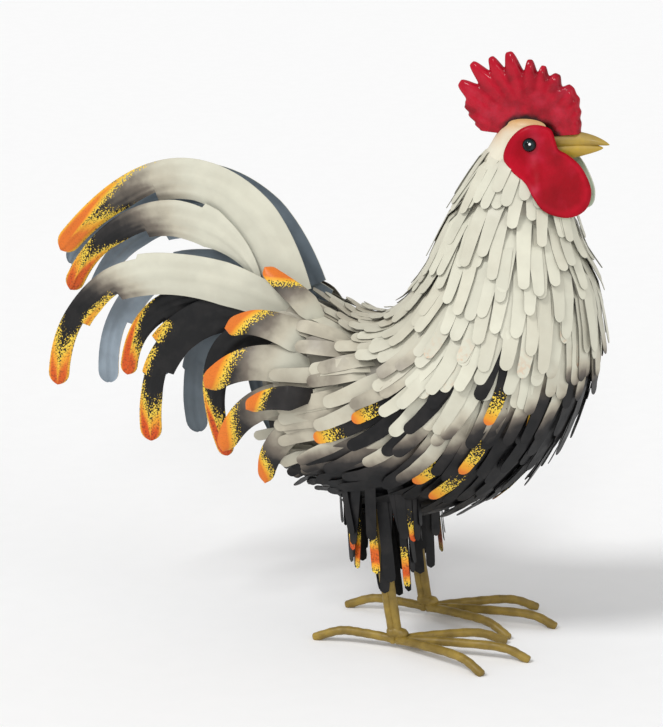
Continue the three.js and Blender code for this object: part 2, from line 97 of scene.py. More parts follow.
def over_skin(place, angle, lift):
    """Bare body raised along its outward normal, the slope along the body crossed with the one round it."""
    normal = unit(np.cross(*skin_slopes(place, angle)))
    return skin(place, angle) + normal * np.asarray(lift, float)[..., None]


def ring_middle(place):
    """Middle of a ring, half way between back and breast."""
    return skin(place, np.array([0.0, np.pi])).mean(axis=0)


def round_faces(rows, columns):
    """Faces of a grid that closes round its columns, with a fan to one extra point at each end."""
    number = np.arange(rows * columns).reshape(rows, columns)
    beside = np.roll(number, -1, axis=1)
    walls = np.stack([number[:-1], number[1:], beside[1:], beside[:-1]], -1).reshape(-1, 4)
    first = np.full(columns, rows * columns)
    start = np.stack([number[0], beside[0], first], -1)
    end = np.stack([beside[-1], number[-1], first + 1], -1)
    return [walls, start, end]


def make_piece(name, points, face_sets, paints, slot, paint_numbers=None, flat_sets=(), marks=None):
    """Mesh from points in millimetres and sets of faces. Marks are numbers per point for the paint to
    read, and a flat set keeps crisp edges against its neighbours."""
    mesh = bpy.data.meshes.new(name)
    placed = (np.asarray(points, float).reshape(-1, 3) + (forward_shift, 0, 0)) * 0.001
    corners = np.concatenate([faces.ravel() for faces in face_sets]).astype(np.int32)
    sizes = np.concatenate([np.full(len(faces), faces.shape[1]) for faces in face_sets])
    smooth = np.concatenate([np.full(len(faces), k not in flat_sets) for k, faces in enumerate(face_sets)])
    mesh.vertices.add(len(placed))
    mesh.vertices.foreach_set("co", placed.astype(np.float32).ravel())
    mesh.loops.add(len(corners))
    mesh.loops.foreach_set("vertex_index", corners)
    mesh.polygons.add(len(sizes))
    mesh.polygons.foreach_set("loop_start", (np.cumsum(sizes) - sizes).astype(np.int32))
    mesh.polygons.foreach_set("use_smooth", smooth)
    for paint in paints:
        mesh.materials.append(paint)
    if paint_numbers is not None:
        chosen = np.concatenate([np.full(len(faces), n) for faces, n in zip(face_sets, paint_numbers)])
        mesh.polygons.foreach_set("material_index", chosen.astype(np.int32))
    mesh.update(calc_edges=True)
    mesh.validate()
    edge_of_corner = np.zeros(len(corners), np.int32)
    mesh.loops.foreach_get("edge_index", edge_of_corner)
    crisp = np.zeros(len(mesh.edges), bool)
    crisp[edge_of_corner[~np.repeat(smooth, sizes)]] = True
    mesh.edges.foreach_set("use_edge_sharp", crisp)
    for mark, values in (marks or {}).items():
        layer = mesh.attributes.new(mark, "FLOAT", "POINT")
        layer.data.foreach_set("value", np.asarray(values, np.float32).ravel())
    piece = bpy.data.objects.new(name, mesh)
    bpy.context.scene.collection.objects.link(piece)
    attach(piece, "root")
    return piece


def colour(red, green, blue):
    """Paint colour given as 0 to 255 on a colour card, in the linear light that shaders use."""
    card = np.array([red, green, blue]) / 255.0
    linear = np.where(card <= 0.04045, card / 12.92, ((card + 0.055) / 1.055) ** 2.4)
    return (*linear.tolist(), 1.0)


def put(tree, kind, feeds, **settings):
    """Node of that kind; each feed is a fixed value or the socket that supplies it."""
    node = tree.nodes.new("ShaderNode" + kind)
    for setting, value in settings.items():
        setattr(node, setting, value)
    for socket, value in feeds.items():
        if isinstance(value, bpy.types.NodeSocket):
            tree.links.new(value, node.inputs[socket])
        else:
            node.inputs[socket].default_value = value
    return node.outputs


def sums(tree, operation, first, second=0.0):
    """Sum, product or other plain arithmetic of two values."""
    return put(tree, "Math", {0: first, 1: second}, operation=operation)[0]


def ease(tree, value, low, high, bottom=0.0, top=1.0):
    """Smooth step of a value from bottom at low to top at high."""
    feeds = {"Value": value, "From Min": low, "From Max": high, "To Min": bottom, "To Max": top}
    return put(tree, "MapRange", feeds, interpolation_type="SMOOTHSTEP")[0]


def over(tree, share, under, top):
    """One colour laid over another by a share."""
    return put(tree, "Mix", {0: share, 6: under, 7: top}, data_type="RGBA")[2]


def grain(tree, scale, detail=2.0):
    """Cloudy noise on the piece's own coordinates, about 0.5 on average."""
    where = put(tree, "TexCoord", {})["Object"]
    return put(tree, "TexNoise", {"Vector": where, "Scale": scale, "Detail": detail})[0]


def position(tree):
    """X, Y and Z of a point of the piece, in metres."""
    return put(tree, "SeparateXYZ", {"Vector": put(tree, "TexCoord", {})["Object"]})


def node_group(name, inputs, outputs):
    """Empty shader node group with named sockets."""
    group = bpy.data.node_groups.new(name, "ShaderNodeTree")
    kinds = {"colour": "NodeSocketColor", "value": "NodeSocketFloat"}
    for socket, kind, value in inputs:
        group.interface.new_socket(socket, in_out="INPUT", socket_type=kinds[kind]).default_value = value
    for socket, kind in outputs:
        group.interface.new_socket(socket, in_out="OUTPUT", socket_type=kinds[kind])
    return group, group.nodes.new("NodeGroupInput").outputs, group.nodes.new("NodeGroupOutput").inputs


# Every paint on the bird is brushed or sprayed by hand, so it is mottled, slightly uneven in gloss
# and has a faint orange-peel skin.
hand_paint, given, result = node_group(
    "hand_paint",
    [("Colour", "colour", (1, 1, 1, 1)), ("Mottle", "value", 0.1), ("Gloss", "value", 0.45)],
    [("Colour", "colour"), ("Roughness", "value"), ("Height", "value")])
patches = grain(hand_paint, 38.0, 3.0)
shade = sums(hand_paint, "MULTIPLY", ease(hand_paint, patches, 0.35, 0.65, -1.0, 1.0), given["Mottle"])
level = sums(hand_paint, "ADD", shade, 1.0)
toned = put(hand_paint, "HueSaturation", {"Value": level, "Color": given["Colour"]})[0]
hand_paint.links.new(toned, result["Colour"])
uneven = ease(hand_paint, grain(hand_paint, 90.0, 4.0), 0.3, 0.7, -0.08, 0.08)
hand_paint.links.new(sums(hand_paint, "ADD", given["Gloss"], uneven), result["Roughness"])
hand_paint.links.new(grain(hand_paint, 420.0, 2.0), result["Height"])


def new_paint(name):
    """New material, with its node tree and its main shader."""
    paint = bpy.data.materials.new(name)
    paint.use_nodes = True
    return paint, paint.node_tree, paint.node_tree.nodes["Principled BSDF"]


def finish_paint(tree, shader, tint, mottle, gloss, relief=None, relief_depth=0.0, skin_strength=0.08):
    """The hand-painted finish over a colour: mottled colour, uneven roughness and fine bumps."""
    finish = put(tree, "Group", {"Colour": tint, "Mottle": mottle, "Gloss": gloss}, node_tree=hand_paint)
    tree.links.new(finish["Colour"], shader.inputs["Base Color"])
    tree.links.new(finish["Roughness"], shader.inputs["Roughness"])
    feeds = {"Strength": skin_strength, "Distance": 0.0004, "Height": finish["Height"]}
    bumps = put(tree, "Bump", feeds)[0]
    if relief is not None:
        feeds = {"Strength": 0.6, "Distance": relief_depth, "Height": relief, "Normal": bumps}
        bumps = put(tree, "Bump", feeds)[0]
    tree.links.new(bumps, shader.inputs["Normal"])


shell_paint, tree, shader = new_paint("shell_shadow_paint")
# Painted shade for the gaps between feathers, by height: charcoal low down, a grey band, dim cream at the
# neck
height = position(tree)["Z"]
gap_shade_colour = over(tree, ease(tree, height, 0.2, 0.26), colour(30, 28, 27), colour(150, 145, 132))
gap_shade_colour = over(tree, ease(tree, height, 0.36, 0.41), gap_shade_colour, colour(206, 200, 182))
finish_paint(tree, shader, gap_shade_colour, 0.15, 0.7)

shell_rows = 60
shell_sides = 48
shell_place = np.linspace(neck_seam, vent, shell_rows)[:, None]
shell_turn = np.linspace(0, 2 * np.pi, shell_sides, endpoint=False)[None, :]
shell_points = over_skin(shell_place, shell_turn, -shell_inset)
shell_ends = [ring_middle(neck_seam), ring_middle(vent) - (vent_bulge, 0, 0)]
shell = make_piece("body_shell", np.vstack([shell_points.reshape(-1, 3), shell_ends]),
                   round_faces(shell_rows, shell_sides), [shell_paint], "dark_plumage")
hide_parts("body_core")


# Feathers of neck, breast, back and sides
# Strips of thin sheet steel with round ends, cut side by side and bent to lie over each other like
# shingles. They are sprayed cream above and charcoal below, and some tips are dabbed with orange.

row_count = 13
first_row = 1.22
row_pitch = 0.5
feather_straight = np.array([0, 0.3, 0.6, 0.85])
feather_round = np.array([0, 0.42, 0.75, 0.94, 1.0])
feather_steps = len(feather_straight) + len(feather_round)
feather_columns = np.array([-1.0, 1.0])
feather_thickness = 0.6
layer_gap = 1.1
neighbour_gap = 0.45
root_tuck = 6
tuck_share = 0.3
last_place = 8.9
girth_ahead = 0.55
usual_speed = 48
chance = np.random.default_rng(seed=24)

# Behind this place the top of the back is left open for the tail
open_back_from = 5.7
open_back_angle = np.radians(150)

# Height of the line where cream turns to charcoal, at distances along the bird, and the height over
# which the two colours fade into each other
paint_line_x = [-60, -29, 2, 42, 89, 126, 160, 194, 225, 252]
paint_line_z = [158, 163, 176, 186, 192, 203, 217, 235, 252, 268]
spray_width = 34

# Tips of single feathers, seen from the side: dark with a dab of orange, dark, smudged with peach, and
# smudged with grey
dabbed_tips = [(148, 227), (199, 222), (45, 209), (-1, 196), (-5, 152), (95, 157), (114, 154)]
dark_tips = [(135, 232), (178, 222), (100, 214), (158, 246), (70, 186), (30, 190)]
peach_tips = [(222, 297), (240, 272), (118, 282), (106, 252), (150, 286), (196, 270), (130, 262)]
grey_tips = [(18, 254), (85, 276), (60, 262), (-10, 240), (40, 236), (5, 280), (70, 240)]


def ring_girth(place):
    """Length round a ring: Ramanujan's estimate for an ellipse."""
    across = along_rings(ring_half_width, place)[..., 0]
    depth = 0.5 * np.linalg.norm(along_rings(ring_back, place) - along_rings(ring_breast, place), axis=-1)
    return np.pi * (3 * (depth + across) - np.sqrt((3 * depth + across) * (depth + 3 * across)))


def sheet_faces(rows, columns, count):
    """Faces of several thin closed sheets: outer grid, inner grid turned over, and a wall round them."""
    number = np.arange(rows * columns).reshape(rows, columns)
    corners = [number[:-1, :-1], number[1:, :-1], number[1:, 1:], number[:-1, 1:]]
    outer = np.stack(corners, -1).reshape(-1, 4)
    loop = np.concatenate([number[:, 0], number[-1, 1:], number[-2::-1, -1], number[0, -2:0:-1]])
    after = np.roll(loop, -1)
    total = rows * columns
    wall = np.stack([after, loop, loop + total, after + total], -1)
    start = (np.arange(count) * 2 * total)[:, None, None]
    return [(faces + start).reshape(-1, 4) for faces in (outer, outer[:, [0, 3, 2, 1]] + total, wall)]


def round_tip(share, round_from):
    """Width of a strip along its length: full, then a half circle from round_from to the tip."""
    past = np.clip((share - round_from) / (1 - round_from), 0, 1)
    return np.sqrt(np.maximum(1 - past ** 2, 0.02))


def body_speed(place, angle):
    """Millimetres run along the body for each step of one ring."""
    return np.linalg.norm(skin_slopes(place, angle)[0], axis=-1)


def body_feathers(place, angle, length, half_width, lift, slope, curl, lean, stiffness):
    """Strips lying on the body, all at once. The middle of each runs down the body from its place, turned
    by the lean. Its height off the body is the lift, the slope times the way run and the curl times the
    share cubed, less a dip that tucks the root under its neighbours. A stiff strip keeps to the straight
    line of its root and a soft one hugs the body; the two are mixed by the stiffness. Across its middle
    the strip is flat; it narrows with the share squared and its tip is a half circle."""
    per_strip = (place, angle, length, half_width, lift, slope, curl, lean, stiffness)
    place, angle, length, half_width, lift, slope, curl, lean, stiffness = (
        np.asarray(values, float)[:, None] for values in per_strip)
    speed = body_speed(place + 0.4, angle)
    on_body = np.minimum(length, np.minimum(1.9, last_place - place) * speed)
    length = np.where(stiffness > 0.8, length, on_body)
    round_from = 1 - 0.75 * half_width / length
    straight = feather_straight * round_from
    rounded = round_from + (1 - round_from) * feather_round
    share = np.concatenate([straight, rounded], axis=1)
    run = length * share
    spot = np.minimum(place + run * np.cos(lean) / speed, last_place)
    turn = np.linalg.norm(skin_slopes(spot, angle)[1], axis=-1)
    bearing = angle + run * np.sin(lean) / turn
    tucked = root_tuck * np.clip(1 - share / tuck_share, 0, 1) ** 2
    height = lift + slope * run + curl * share ** 3 - tucked
    soft = over_skin(spot, bearing, height)
    soft_up = soft - over_skin(spot, bearing, height - 1)
    along, around = (unit(slopes) for slopes in skin_slopes(place, angle))
    stiff_up = unit(np.cross(along, around))
    heading = along * np.cos(lean)[..., None] + around * np.sin(lean)[..., None]
    stiff = skin(place, angle) + heading * run[..., None] + stiff_up * height[..., None]
    middle = soft + (stiff - soft) * stiffness[..., None]
    upward = soft_up + (stiff_up - soft_up) * stiffness[..., None]
    forward = unit(np.gradient(middle, axis=1))
    aside = unit(np.cross(upward, forward))
    width = half_width * (1 - 0.28 * share ** 2) * round_tip(share, round_from)
    outer = middle[:, :, None] + aside[:, :, None] * (feather_columns * width[..., None])[..., None]
    inner = outer - feather_thickness * np.cross(forward, aside)[:, :, None]
    return np.stack([outer, inner], axis=1), ((1 - share) * length)[..., None] + 0 * feather_columns


def smooth_step(value):
    """Three times the square less twice the cube, of the value kept between 0 and 1."""
    value = np.clip(value, 0, 1)
    return value * value * (3 - 2 * value)


def paint_tone(points, shift):
    """How far the paint has turned from cream (0) to charcoal (1): a smooth step across the paint line."""
    line = np.interp(points[..., 0], paint_line_x, paint_line_z)
    return smooth_step((line + shift - points[..., 2]) / spray_width + 0.5)


def on_back(angle, row):
    """How far a strip lies up on the back: a ramp over its angle, in the rows behind the neck."""
    return np.clip((np.abs(angle) - 1.6) / 0.6, 0, 1) * (row > 5)


def about_angle(angle, middle, width):
    """Bell curve on both sides of the body: one at the middle angle, falling with the distance squared."""
    return np.exp(-((np.abs(angle) - middle) / width) ** 2)


# Each row has two layers of strips, the lower one showing between the strips of the upper one
strips = []
for row in range(row_count):
    place = first_row + row_pitch * row
    pitch = np.interp(row, [0, 3, 8, 12], [13.0, 15.5, 16.0, 14.5])
    count = int(round(float(ring_girth(np.array(place + girth_ahead))) / pitch))
    for layer in (0, 1):
        angle = np.arange(count) + 0.5 * layer + 0.25 * (row % 2) + chance.uniform(-0.18, 0.18, count)
        angle = angle * 2 * np.pi / count
        angle = (angle + np.pi) % (2 * np.pi) - np.pi
        if place > open_back_from:
            angle = angle[np.abs(angle) < open_back_angle]
        crowded = np.interp(row, [1, 5], [1.0, 0.66]) * (1 - 0.35 * on_back(angle, row))
        crowded = crowded * body_speed(place, angle) / usual_speed
        angle = angle[chance.random(len(angle)) < crowded]
        above = layer_gap * layer + neighbour_gap * (np.arange(len(angle)) % 2)
        same = [np.full(len(angle), value) for value in (row, place, pitch)]
        strips.append(np.stack(same + [above, angle]))
feather_row, feather_place, feather_pitch, feather_above, feather_angle = np.concatenate(strips, axis=1)
feather_total = len(feather_row)
sideways = np.abs(np.sin(feather_angle))
frontal = np.clip(np.cos(feather_angle), 0, 1)
flank = about_angle(feather_angle, 1.85, 0.6)
upper_flank = about_angle(feather_angle, 2.35, 0.3)
lower_flank = about_angle(feather_angle, 0.85, 0.35)
high = on_back(feather_angle, feather_row)
collar = feather_row == 0

# Place and length: longer on the flanks and the back, ragged at the collar
feather_place = feather_place + chance.uniform(-0.25, 0.25, feather_total) * np.clip(feather_row, 0.4, 1)
feather_place = np.where(collar, feather_place - 0.1, feather_place)
feather_length = np.interp(feather_row, [0, 1, 3, 6, 9, 12], [54, 64, 76, 84, 88, 90])
feather_length = feather_length + np.interp(feather_row, [7, 10, 12], [0, 26, 34]) * flank
feather_length = feather_length * chance.uniform(0.84, 1.18, feather_total) * (1 + 0.25 * high)
ragged = chance.uniform(0.75, 1.3, feather_total)
feather_length = np.where(collar, feather_length * ragged, feather_length)

# Width, and height off the body: the rear flanks stand out, and an awning of curled tips covers the thighs
feather_half = 0.5 * feather_pitch * chance.uniform(0.88, 1.0, feather_total)
feather_lift = 0.6 + feather_above + chance.uniform(0, 0.1, feather_total)
feather_lift = np.where(collar, feather_lift - layer_gap, feather_lift)
feather_slope = 0.09 + 0.03 * frontal + np.interp(feather_place, [5.2, 6.4], [0, 0.13]) * flank
feather_slope = feather_slope + np.interp(feather_place, [5.0, 6.0], [0, 0.14]) * upper_flank
feather_curl = chance.exponential(1.1, feather_total) * np.interp(feather_row, [0, 3], [0.4, 1.0])
feather_curl = np.minimum(feather_curl * (1 + 0.8 * frontal), 6.0)
awning = np.interp(feather_place, [5.2, 5.9, 7.0, 7.6], [0, 10, 10, 0]) * lower_flank
feather_curl = feather_curl + awning

# Lean and stiffness: strips sweep down over the sides, and those of the rear flanks run out straight
swept = np.interp(feather_place, [1.3, 3, 4.5, 6, 7.2], [0, 8, 24, 20, 6]) * sideways ** 2
feather_lean = np.radians(chance.normal(0, 3.2, feather_total) - np.sign(feather_angle) * swept)
feather_stiffness = np.interp(feather_place, [4.6, 5.7, 6.5], [0.03, 0.45, 1.0]) * flank
reach_back = np.maximum(skin(feather_place, feather_angle)[:, 0] + 38, 40)
feather_length = np.where(feather_stiffness > 0.5, np.minimum(feather_length, reach_back), feather_length)
feather_points, feather_to_tip = body_feathers(
    feather_place, feather_angle, feather_length, feather_half, feather_lift, feather_slope, feather_curl,
    feather_lean, feather_stiffness)
feather_tip = feather_points[:, 0, -1].mean(axis=1)


def nearest_tips(tips, places, allowed):
    """For each place seen from the side, the number of the allowed strip whose tip is nearest to it."""
    away = np.linalg.norm(tips[:, None, [0, 2]] - np.asarray(places, float)[None], axis=-1)
    return np.argmin(away + np.where(allowed, 0, 1000)[:, None], axis=0)


def by_feather(values):
    """One value for each strip, shaped to spread over all its points."""
    return np.reshape(values, (feather_total, 1, 1, 1))


marked = np.zeros((4, feather_total), bool)
is_dark, is_dabbed, is_peach, is_grey = marked
for side in (-1, 1):
    outside = side * feather_tip[:, 1] > 30
    for chosen, places in zip(marked, (dark_tips, dabbed_tips, peach_tips, grey_tips)):
        chosen[nearest_tips(feather_tip, places, outside)] = True
is_dabbed |= (chance.random(feather_total) < 0.012) & (paint_tone(feather_tip, 0) > 0.5)
is_dark |= is_dabbed
to_tip = feather_to_tip[:, None] + np.zeros((1, 2, 1, 1))
feather_tone = paint_tone(feather_points, by_feather(chance.normal(0, 8, feather_total)))
rear = np.clip((105 - feather_tip[:, 0]) / 120, 0, 1)
dusty = 0.07 * chance.random(feather_total) ** 2 + rear * (0.07 + 0.22 * chance.random(feather_total))
dusty = by_feather(dusty) + 0.26 * by_feather(is_grey) * np.clip(1.3 - to_tip / 40, 0, 1)
feather_tone = np.maximum(feather_tone, dusty)
feather_tone = np.where(by_feather(is_dark), np.maximum(feather_tone, 0.97), feather_tone)
feather_flame = np.where(by_feather(is_dabbed), np.clip(1.25 - to_tip / 26, 0, 1.2), 0)
feather_peach = np.where(by_feather(is_peach), np.clip(1 - to_tip / 22, 0, 1), 0)
feather_tint = by_feather(chance.random(feather_total)) + 0 * to_tip
feather_char = 0.05 + 0 * to_tip

# Orange dabs: yellow speckles thicken into yellow, then orange, towards the tip. Some dark grain is left.
flame_dab, given, result = node_group(
    "flame_dab",
    [("Colour", "colour", (0, 0, 0, 1)), ("Flame", "value", 0.0), ("Char", "value", 0.3)],
    [("Colour", "colour")])
flame = given["Flame"]
speckle = grain(flame_dab, 720.0, 2.0)
worn = sums(flame_dab, "ADD", flame, ease(flame_dab, speckle, 0.3, 0.7, -0.42, 0.42))
covered = ease(flame_dab, worn, 0.42, 0.56)
warm = over(flame_dab, ease(flame_dab, flame, 0.6, 0.95), colour(238, 202, 70), colour(234, 162, 44))
warm = over(flame_dab, ease(flame_dab, flame, 0.95, 1.2), warm, colour(226, 124, 42))
heart = sums(flame_dab, "MULTIPLY", ease(flame_dab, flame, 0.9, 1.35), given["Char"])
heart = sums(flame_dab, "MINIMUM", sums(flame_dab, "MULTIPLY", heart, 2.0), 1.0)
deep = over(flame_dab, heart, warm, colour(204, 76, 16))
flecks = ease(flame_dab, grain(flame_dab, 620.0, 3.0), 0.52, 0.62)
deep = over(flame_dab, sums(flame_dab, "MULTIPLY", flecks, given["Char"]), deep, colour(44, 28, 22))
flame_dab.links.new(over(flame_dab, covered, given["Colour"], deep), result["Colour"])


def mark_of(tree, name):
    """A mark of the piece, as a value for its paint."""
    return put(tree, "Attribute", {}, attribute_name=name)["Fac"]


def plumage_colour(tree):
    """Sprayed colour of a feather: cream through grey-brown to charcoal by its tone, a peach smudge where
    it is marked, and an orange dab at a marked tip."""
    tone = mark_of(tree, "tone")
    cloud = ease(tree, grain(tree, 60.0, 3.0), 0.3, 0.7, -0.07, 0.07)
    soot = sums(tree, "ADD", tone, sums(tree, "MULTIPLY", cloud, ease(tree, tone, 0.0, 0.4, 0.35, 1.0)))
    ramp = tree.nodes.new("ShaderNodeValToRGB")
    tree.links.new(soot, ramp.inputs[0])
    stops = ramp.color_ramp.elements
    stops[0].color = colour(213, 211, 193)
    stops[1].color = colour(13, 13, 15)
    stops.new(0.22).color = colour(190, 183, 164)
    stops.new(0.5).color = colour(118, 109, 98)
    stops.new(0.78).color = colour(44, 41, 40)
    level = ease(tree, mark_of(tree, "tint"), 0.0, 1.0, 0.94, 1.04)
    sprayed = put(tree, "HueSaturation", {"Value": level, "Color": ramp.outputs[0]})[0]
    blotch = ease(tree, grain(tree, 240.0, 3.0), 0.46, 0.64, 0.0, 0.5)
    smudge = sums(tree, "MULTIPLY", mark_of(tree, "peach"), blotch)
    sprayed = over(tree, smudge, sprayed, colour(220, 166, 126))
    feeds = {"Colour": sprayed, "Flame": mark_of(tree, "dab"), "Char": mark_of(tree, "char")}
    return put(tree, "Group", feeds, node_tree=flame_dab)["Colour"]


def sheen(shader, level):
    """How strongly the paint itself mirrors the light."""
    shader.inputs["Specular IOR Level"].default_value = level


plumage_paint, tree, shader = new_paint("plumage_paint")
finish_paint(tree, shader, plumage_colour(tree), 0.035, 0.45)
sheen(shader, 0.3)

# The cut edge and the back of a strip are painted darker as painted shade, which outlines each strip
underside_shade_paint, tree, shader = new_paint("underside_shade_paint")
underside_shade = put(tree, "HueSaturation", {"Value": 0.42, "Saturation": 0.9, "Color": plumage_colour(tree)})[0]
finish_paint(tree, shader, underside_shade, 0.08, 0.6)
sheen(shader, 0.2)


def sheet_piece(name, points, faces, slot, marks, paints=(plumage_paint, underside_shade_paint), edge_paint=1):
    """Thin sheets as one piece: first paint outside, second inside, and a crisp cut edge in either."""
    return make_piece(name, points, faces, paints, slot, (0, 1, edge_paint), (2,), marks)


for row in range(row_count):
    chosen = feather_row == row
    faces = sheet_faces(feather_steps, len(feather_columns), int(chosen.sum()))
    marks = {"tone": feather_tone[chosen], "dab": feather_flame[chosen], "peach": feather_peach[chosen],
             "tint": feather_tint[chosen], "char": feather_char[chosen]}
    piece = sheet_piece("row_%d_feathers" % (row + 1), feather_points[chosen], faces, "plumage", marks)
    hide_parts("feather_row_%d" % (row + 1))


# Thigh feathers
# Narrow strips of the same sheet that hang in two rings round the top of each leg, spot-welded under
# the belly. They are charcoal, and about a third of the tips are dabbed with orange.

thigh_middle = np.array([55.0, -46.0])
thigh_rings = {
    "upper": {"top": 190, "tip": 86, "radii": (50, 29), "draw_in": 0.66, "strips": 20, "seed": 31,
              "dabs": [(34, 92), (94, 96)]},
    "lower": {"top": 160, "tip": 50, "radii": (41, 23), "draw_in": 0.6, "strips": 17, "seed": 47,
              "dabs": [(42, 76), (54, 70), (84, 64)]},
}
thigh_steps = np.array([0, 0.2, 0.4, 0.6, 0.76, 0.87, 0.94, 0.98, 1.0])


def thigh_feathers(ring, side):
    """Strips hanging round a leg: an ellipse that shrinks and drifts forward as it falls. Each strip keeps
    its own width by turning the angle less where the ring is wide, and ends round."""
    luck = np.random.default_rng(ring["seed"])
    count = ring["strips"]
    shape = (count, 1, 1)
    angle = ((np.arange(count) + luck.uniform(-0.2, 0.2, count)) * 2 * np.pi / count).reshape(shape)
    tip = (ring["tip"] + luck.uniform(-8, 36, count)).reshape(shape)
    half = luck.uniform(4.3, 6.0, count).reshape(shape)
    lean = luck.normal(0, 0.26, count).reshape(shape)
    layer = (0.9 * (np.arange(count) % 2)).reshape(shape)
    share = thigh_steps[None, :, None]
    across = feather_columns[None, None, :]
    height = ring["top"] + (tip - ring["top"]) * share
    scale = 1 + (ring["draw_in"] - 1) * (ring["top"] - height) / (ring["top"] - ring["tip"])
    mean_radius = 0.5 * (ring["radii"][0] + ring["radii"][1]) * scale
    length = ring["top"] - tip
    width = half * (1 - 0.3 * share ** 2) * round_tip(share, 1 - 0.7 * half / length)
    bearing = angle + lean * share + across * width / mean_radius
    drift = 0.08 * (205 - height)
    skin_depth = layer - 0.2 * across ** 2 + 0.6 - 15 * (1 - share)
    sides = []
    for inward in (0.0, feather_thickness):
        x = thigh_middle[0] + drift + (ring["radii"][0] * scale + skin_depth - inward) * np.cos(bearing)
        y = thigh_middle[1] + (ring["radii"][1] * scale + skin_depth - inward) * np.sin(bearing)
        sides.append(np.stack([x, -side * y, np.broadcast_to(height, x.shape)], axis=-1))
    points = np.stack(sides, axis=1)
    tips = points[:, 0, -1].mean(axis=1)
    dabbed = np.isin(np.arange(count), nearest_tips(tips, ring["dabs"], np.abs(tips[:, 1]) > 50))
    to_tip = np.broadcast_to(((1 - share) * length)[:, None], points.shape[:-1])
    band = np.where(luck.random(count) < 0.5, 0.0, 16.0)[:, None, None, None]
    flame = np.where(dabbed[:, None, None, None], np.clip(1.5 - np.abs(to_tip - band) / 15, 0, 1.3), 0)
    tint = np.broadcast_to(luck.random(count)[:, None, None, None], flame.shape)
    whole = flame.shape
    return points, {"tone": np.full(whole, 0.98), "dab": flame, "peach": np.zeros(whole), "tint": tint,
                    "char": np.full(whole, 0.5)}


def turned_over(face_sets):
    """The same faces seen from the other side, for a mirrored piece."""
    return [faces[:, ::-1] for faces in face_sets]


for side, side_name in ((1, "right"), (-1, "left")):
    for ring_name, ring in thigh_rings.items():
        points, marks = thigh_feathers(ring, side)
        faces = sheet_faces(len(thigh_steps), len(feather_columns), ring["strips"])
        if side > 0:
            faces = turned_over(faces)
        name = side_name + "_thigh_feathers_" + ring_name
        piece = sheet_piece(name.replace("feathers", "strips"), points, faces, "dark_plumage", marks)
        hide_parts(name)


# Legs and feet
# Two 8 mm steel rods side by side make each shank; single rods make the toes, bent down at the claws
# and welded at the ankle. All of it is brushed with olive-gold paint.

ankle = np.array([77.0, -48.0, 13.0])
hip = np.array([48.0, -47.0, 170.0])
rod_radius = 4.0
toe_forms = {"outer_front_toe": (-27.5, 104), "middle_front_toe": (0.0, 122),
             "inner_front_toe": (25.5, 99), "hind_toe": (180.0, 77)}
rod_sides = 16
shank_spacing = 5.2
shank_steps = 26
weld_steps = 9
toe_steps = 30


def smooth_path(corners, steps):
    """Catmull-Rom curve through corner points, read at even steps."""
    corners = np.asarray(corners, float)
    return along_rings(corners, np.linspace(0, len(corners) - 1, steps))


def rod(path, radius, upright, ends=((0.35, 0.8), (0.12, 0.95))):
    """Round section carried along a path, with an edge rounded by two smaller rings at each end. The
    section stands square to the path, turned from the upright direction."""
    along = unit(np.gradient(path, axis=0))
    side = unit(np.cross(along, np.asarray(upright, float)[None]))
    top = np.cross(side, along)
    radius = np.broadcast_to(np.asarray(radius, float), len(path))
    before = [path[0] - along[0] * out * radius[0] for out, size in ends]
    after = [path[-1] + along[-1] * out * radius[-1] for out, size in ends[::-1]]
    shrink = np.array([size for out, size in ends])
    centres = np.vstack([before, path, after])
    sizes = np.concatenate([radius[0] * shrink, radius, radius[-1] * shrink[::-1]])
    margin = ((len(ends), len(ends)), (0, 0))
    sides = np.pad(side, margin, "edge")
    tops = np.pad(top, margin, "edge")
    turn = np.linspace(0, 2 * np.pi, rod_sides, endpoint=False)[None, :, None]
    ring = np.cos(turn) * sides[:, None] + np.sin(turn) * tops[:, None]
    points = centres[:, None] + ring * sizes[:, None, None]
    poles = np.stack([centres[0] - along[0] * 0.1 * radius[0], centres[-1] + along[-1] * 0.1 * radius[-1]])
    return np.vstack([points.reshape(-1, 3), poles]), round_faces(len(centres), rod_sides)


def joined(parts):
    """Several closed shells as one set of points and faces."""
    starts = np.cumsum([0] + [len(points) for points, faces in parts])
    sets = [[part + start for part in faces] for (points, faces), start in zip(parts, starts)]
    return np.vstack([points for points, faces in parts]), [np.vstack(same) for same in zip(*sets)]


def mirrored(points, face_sets, side):
    """Points and faces as they are for side 1, and reflected across the bird for side -1."""
    return points * (1, side, 1), face_sets if side > 0 else turned_over(face_sets)


leg_paint, tree, shader = new_paint("olive_gold_leg_paint")
brushed = grain(tree, 70.0, 4.0)
gold = over(tree, ease(tree, brushed, 0.35, 0.7), colour(122, 99, 34), colour(152, 126, 50))
gold = over(tree, ease(tree, grain(tree, 260.0, 3.0), 0.58, 0.75, 0.0, 0.35), gold, colour(100, 80, 32))
finish_paint(tree, shader, gold, 0.1, 0.5, relief=grain(tree, 240.0, 3.0), relief_depth=0.0008)


def leg_piece(name, points, faces, side):
    """Rods of one leg as a piece: kept above the ground, and mirrored for the left leg."""
    points[:, 2] = np.maximum(points[:, 2], 0)
    return make_piece(name, *mirrored(points, faces, side), [leg_paint], "leg_gold")


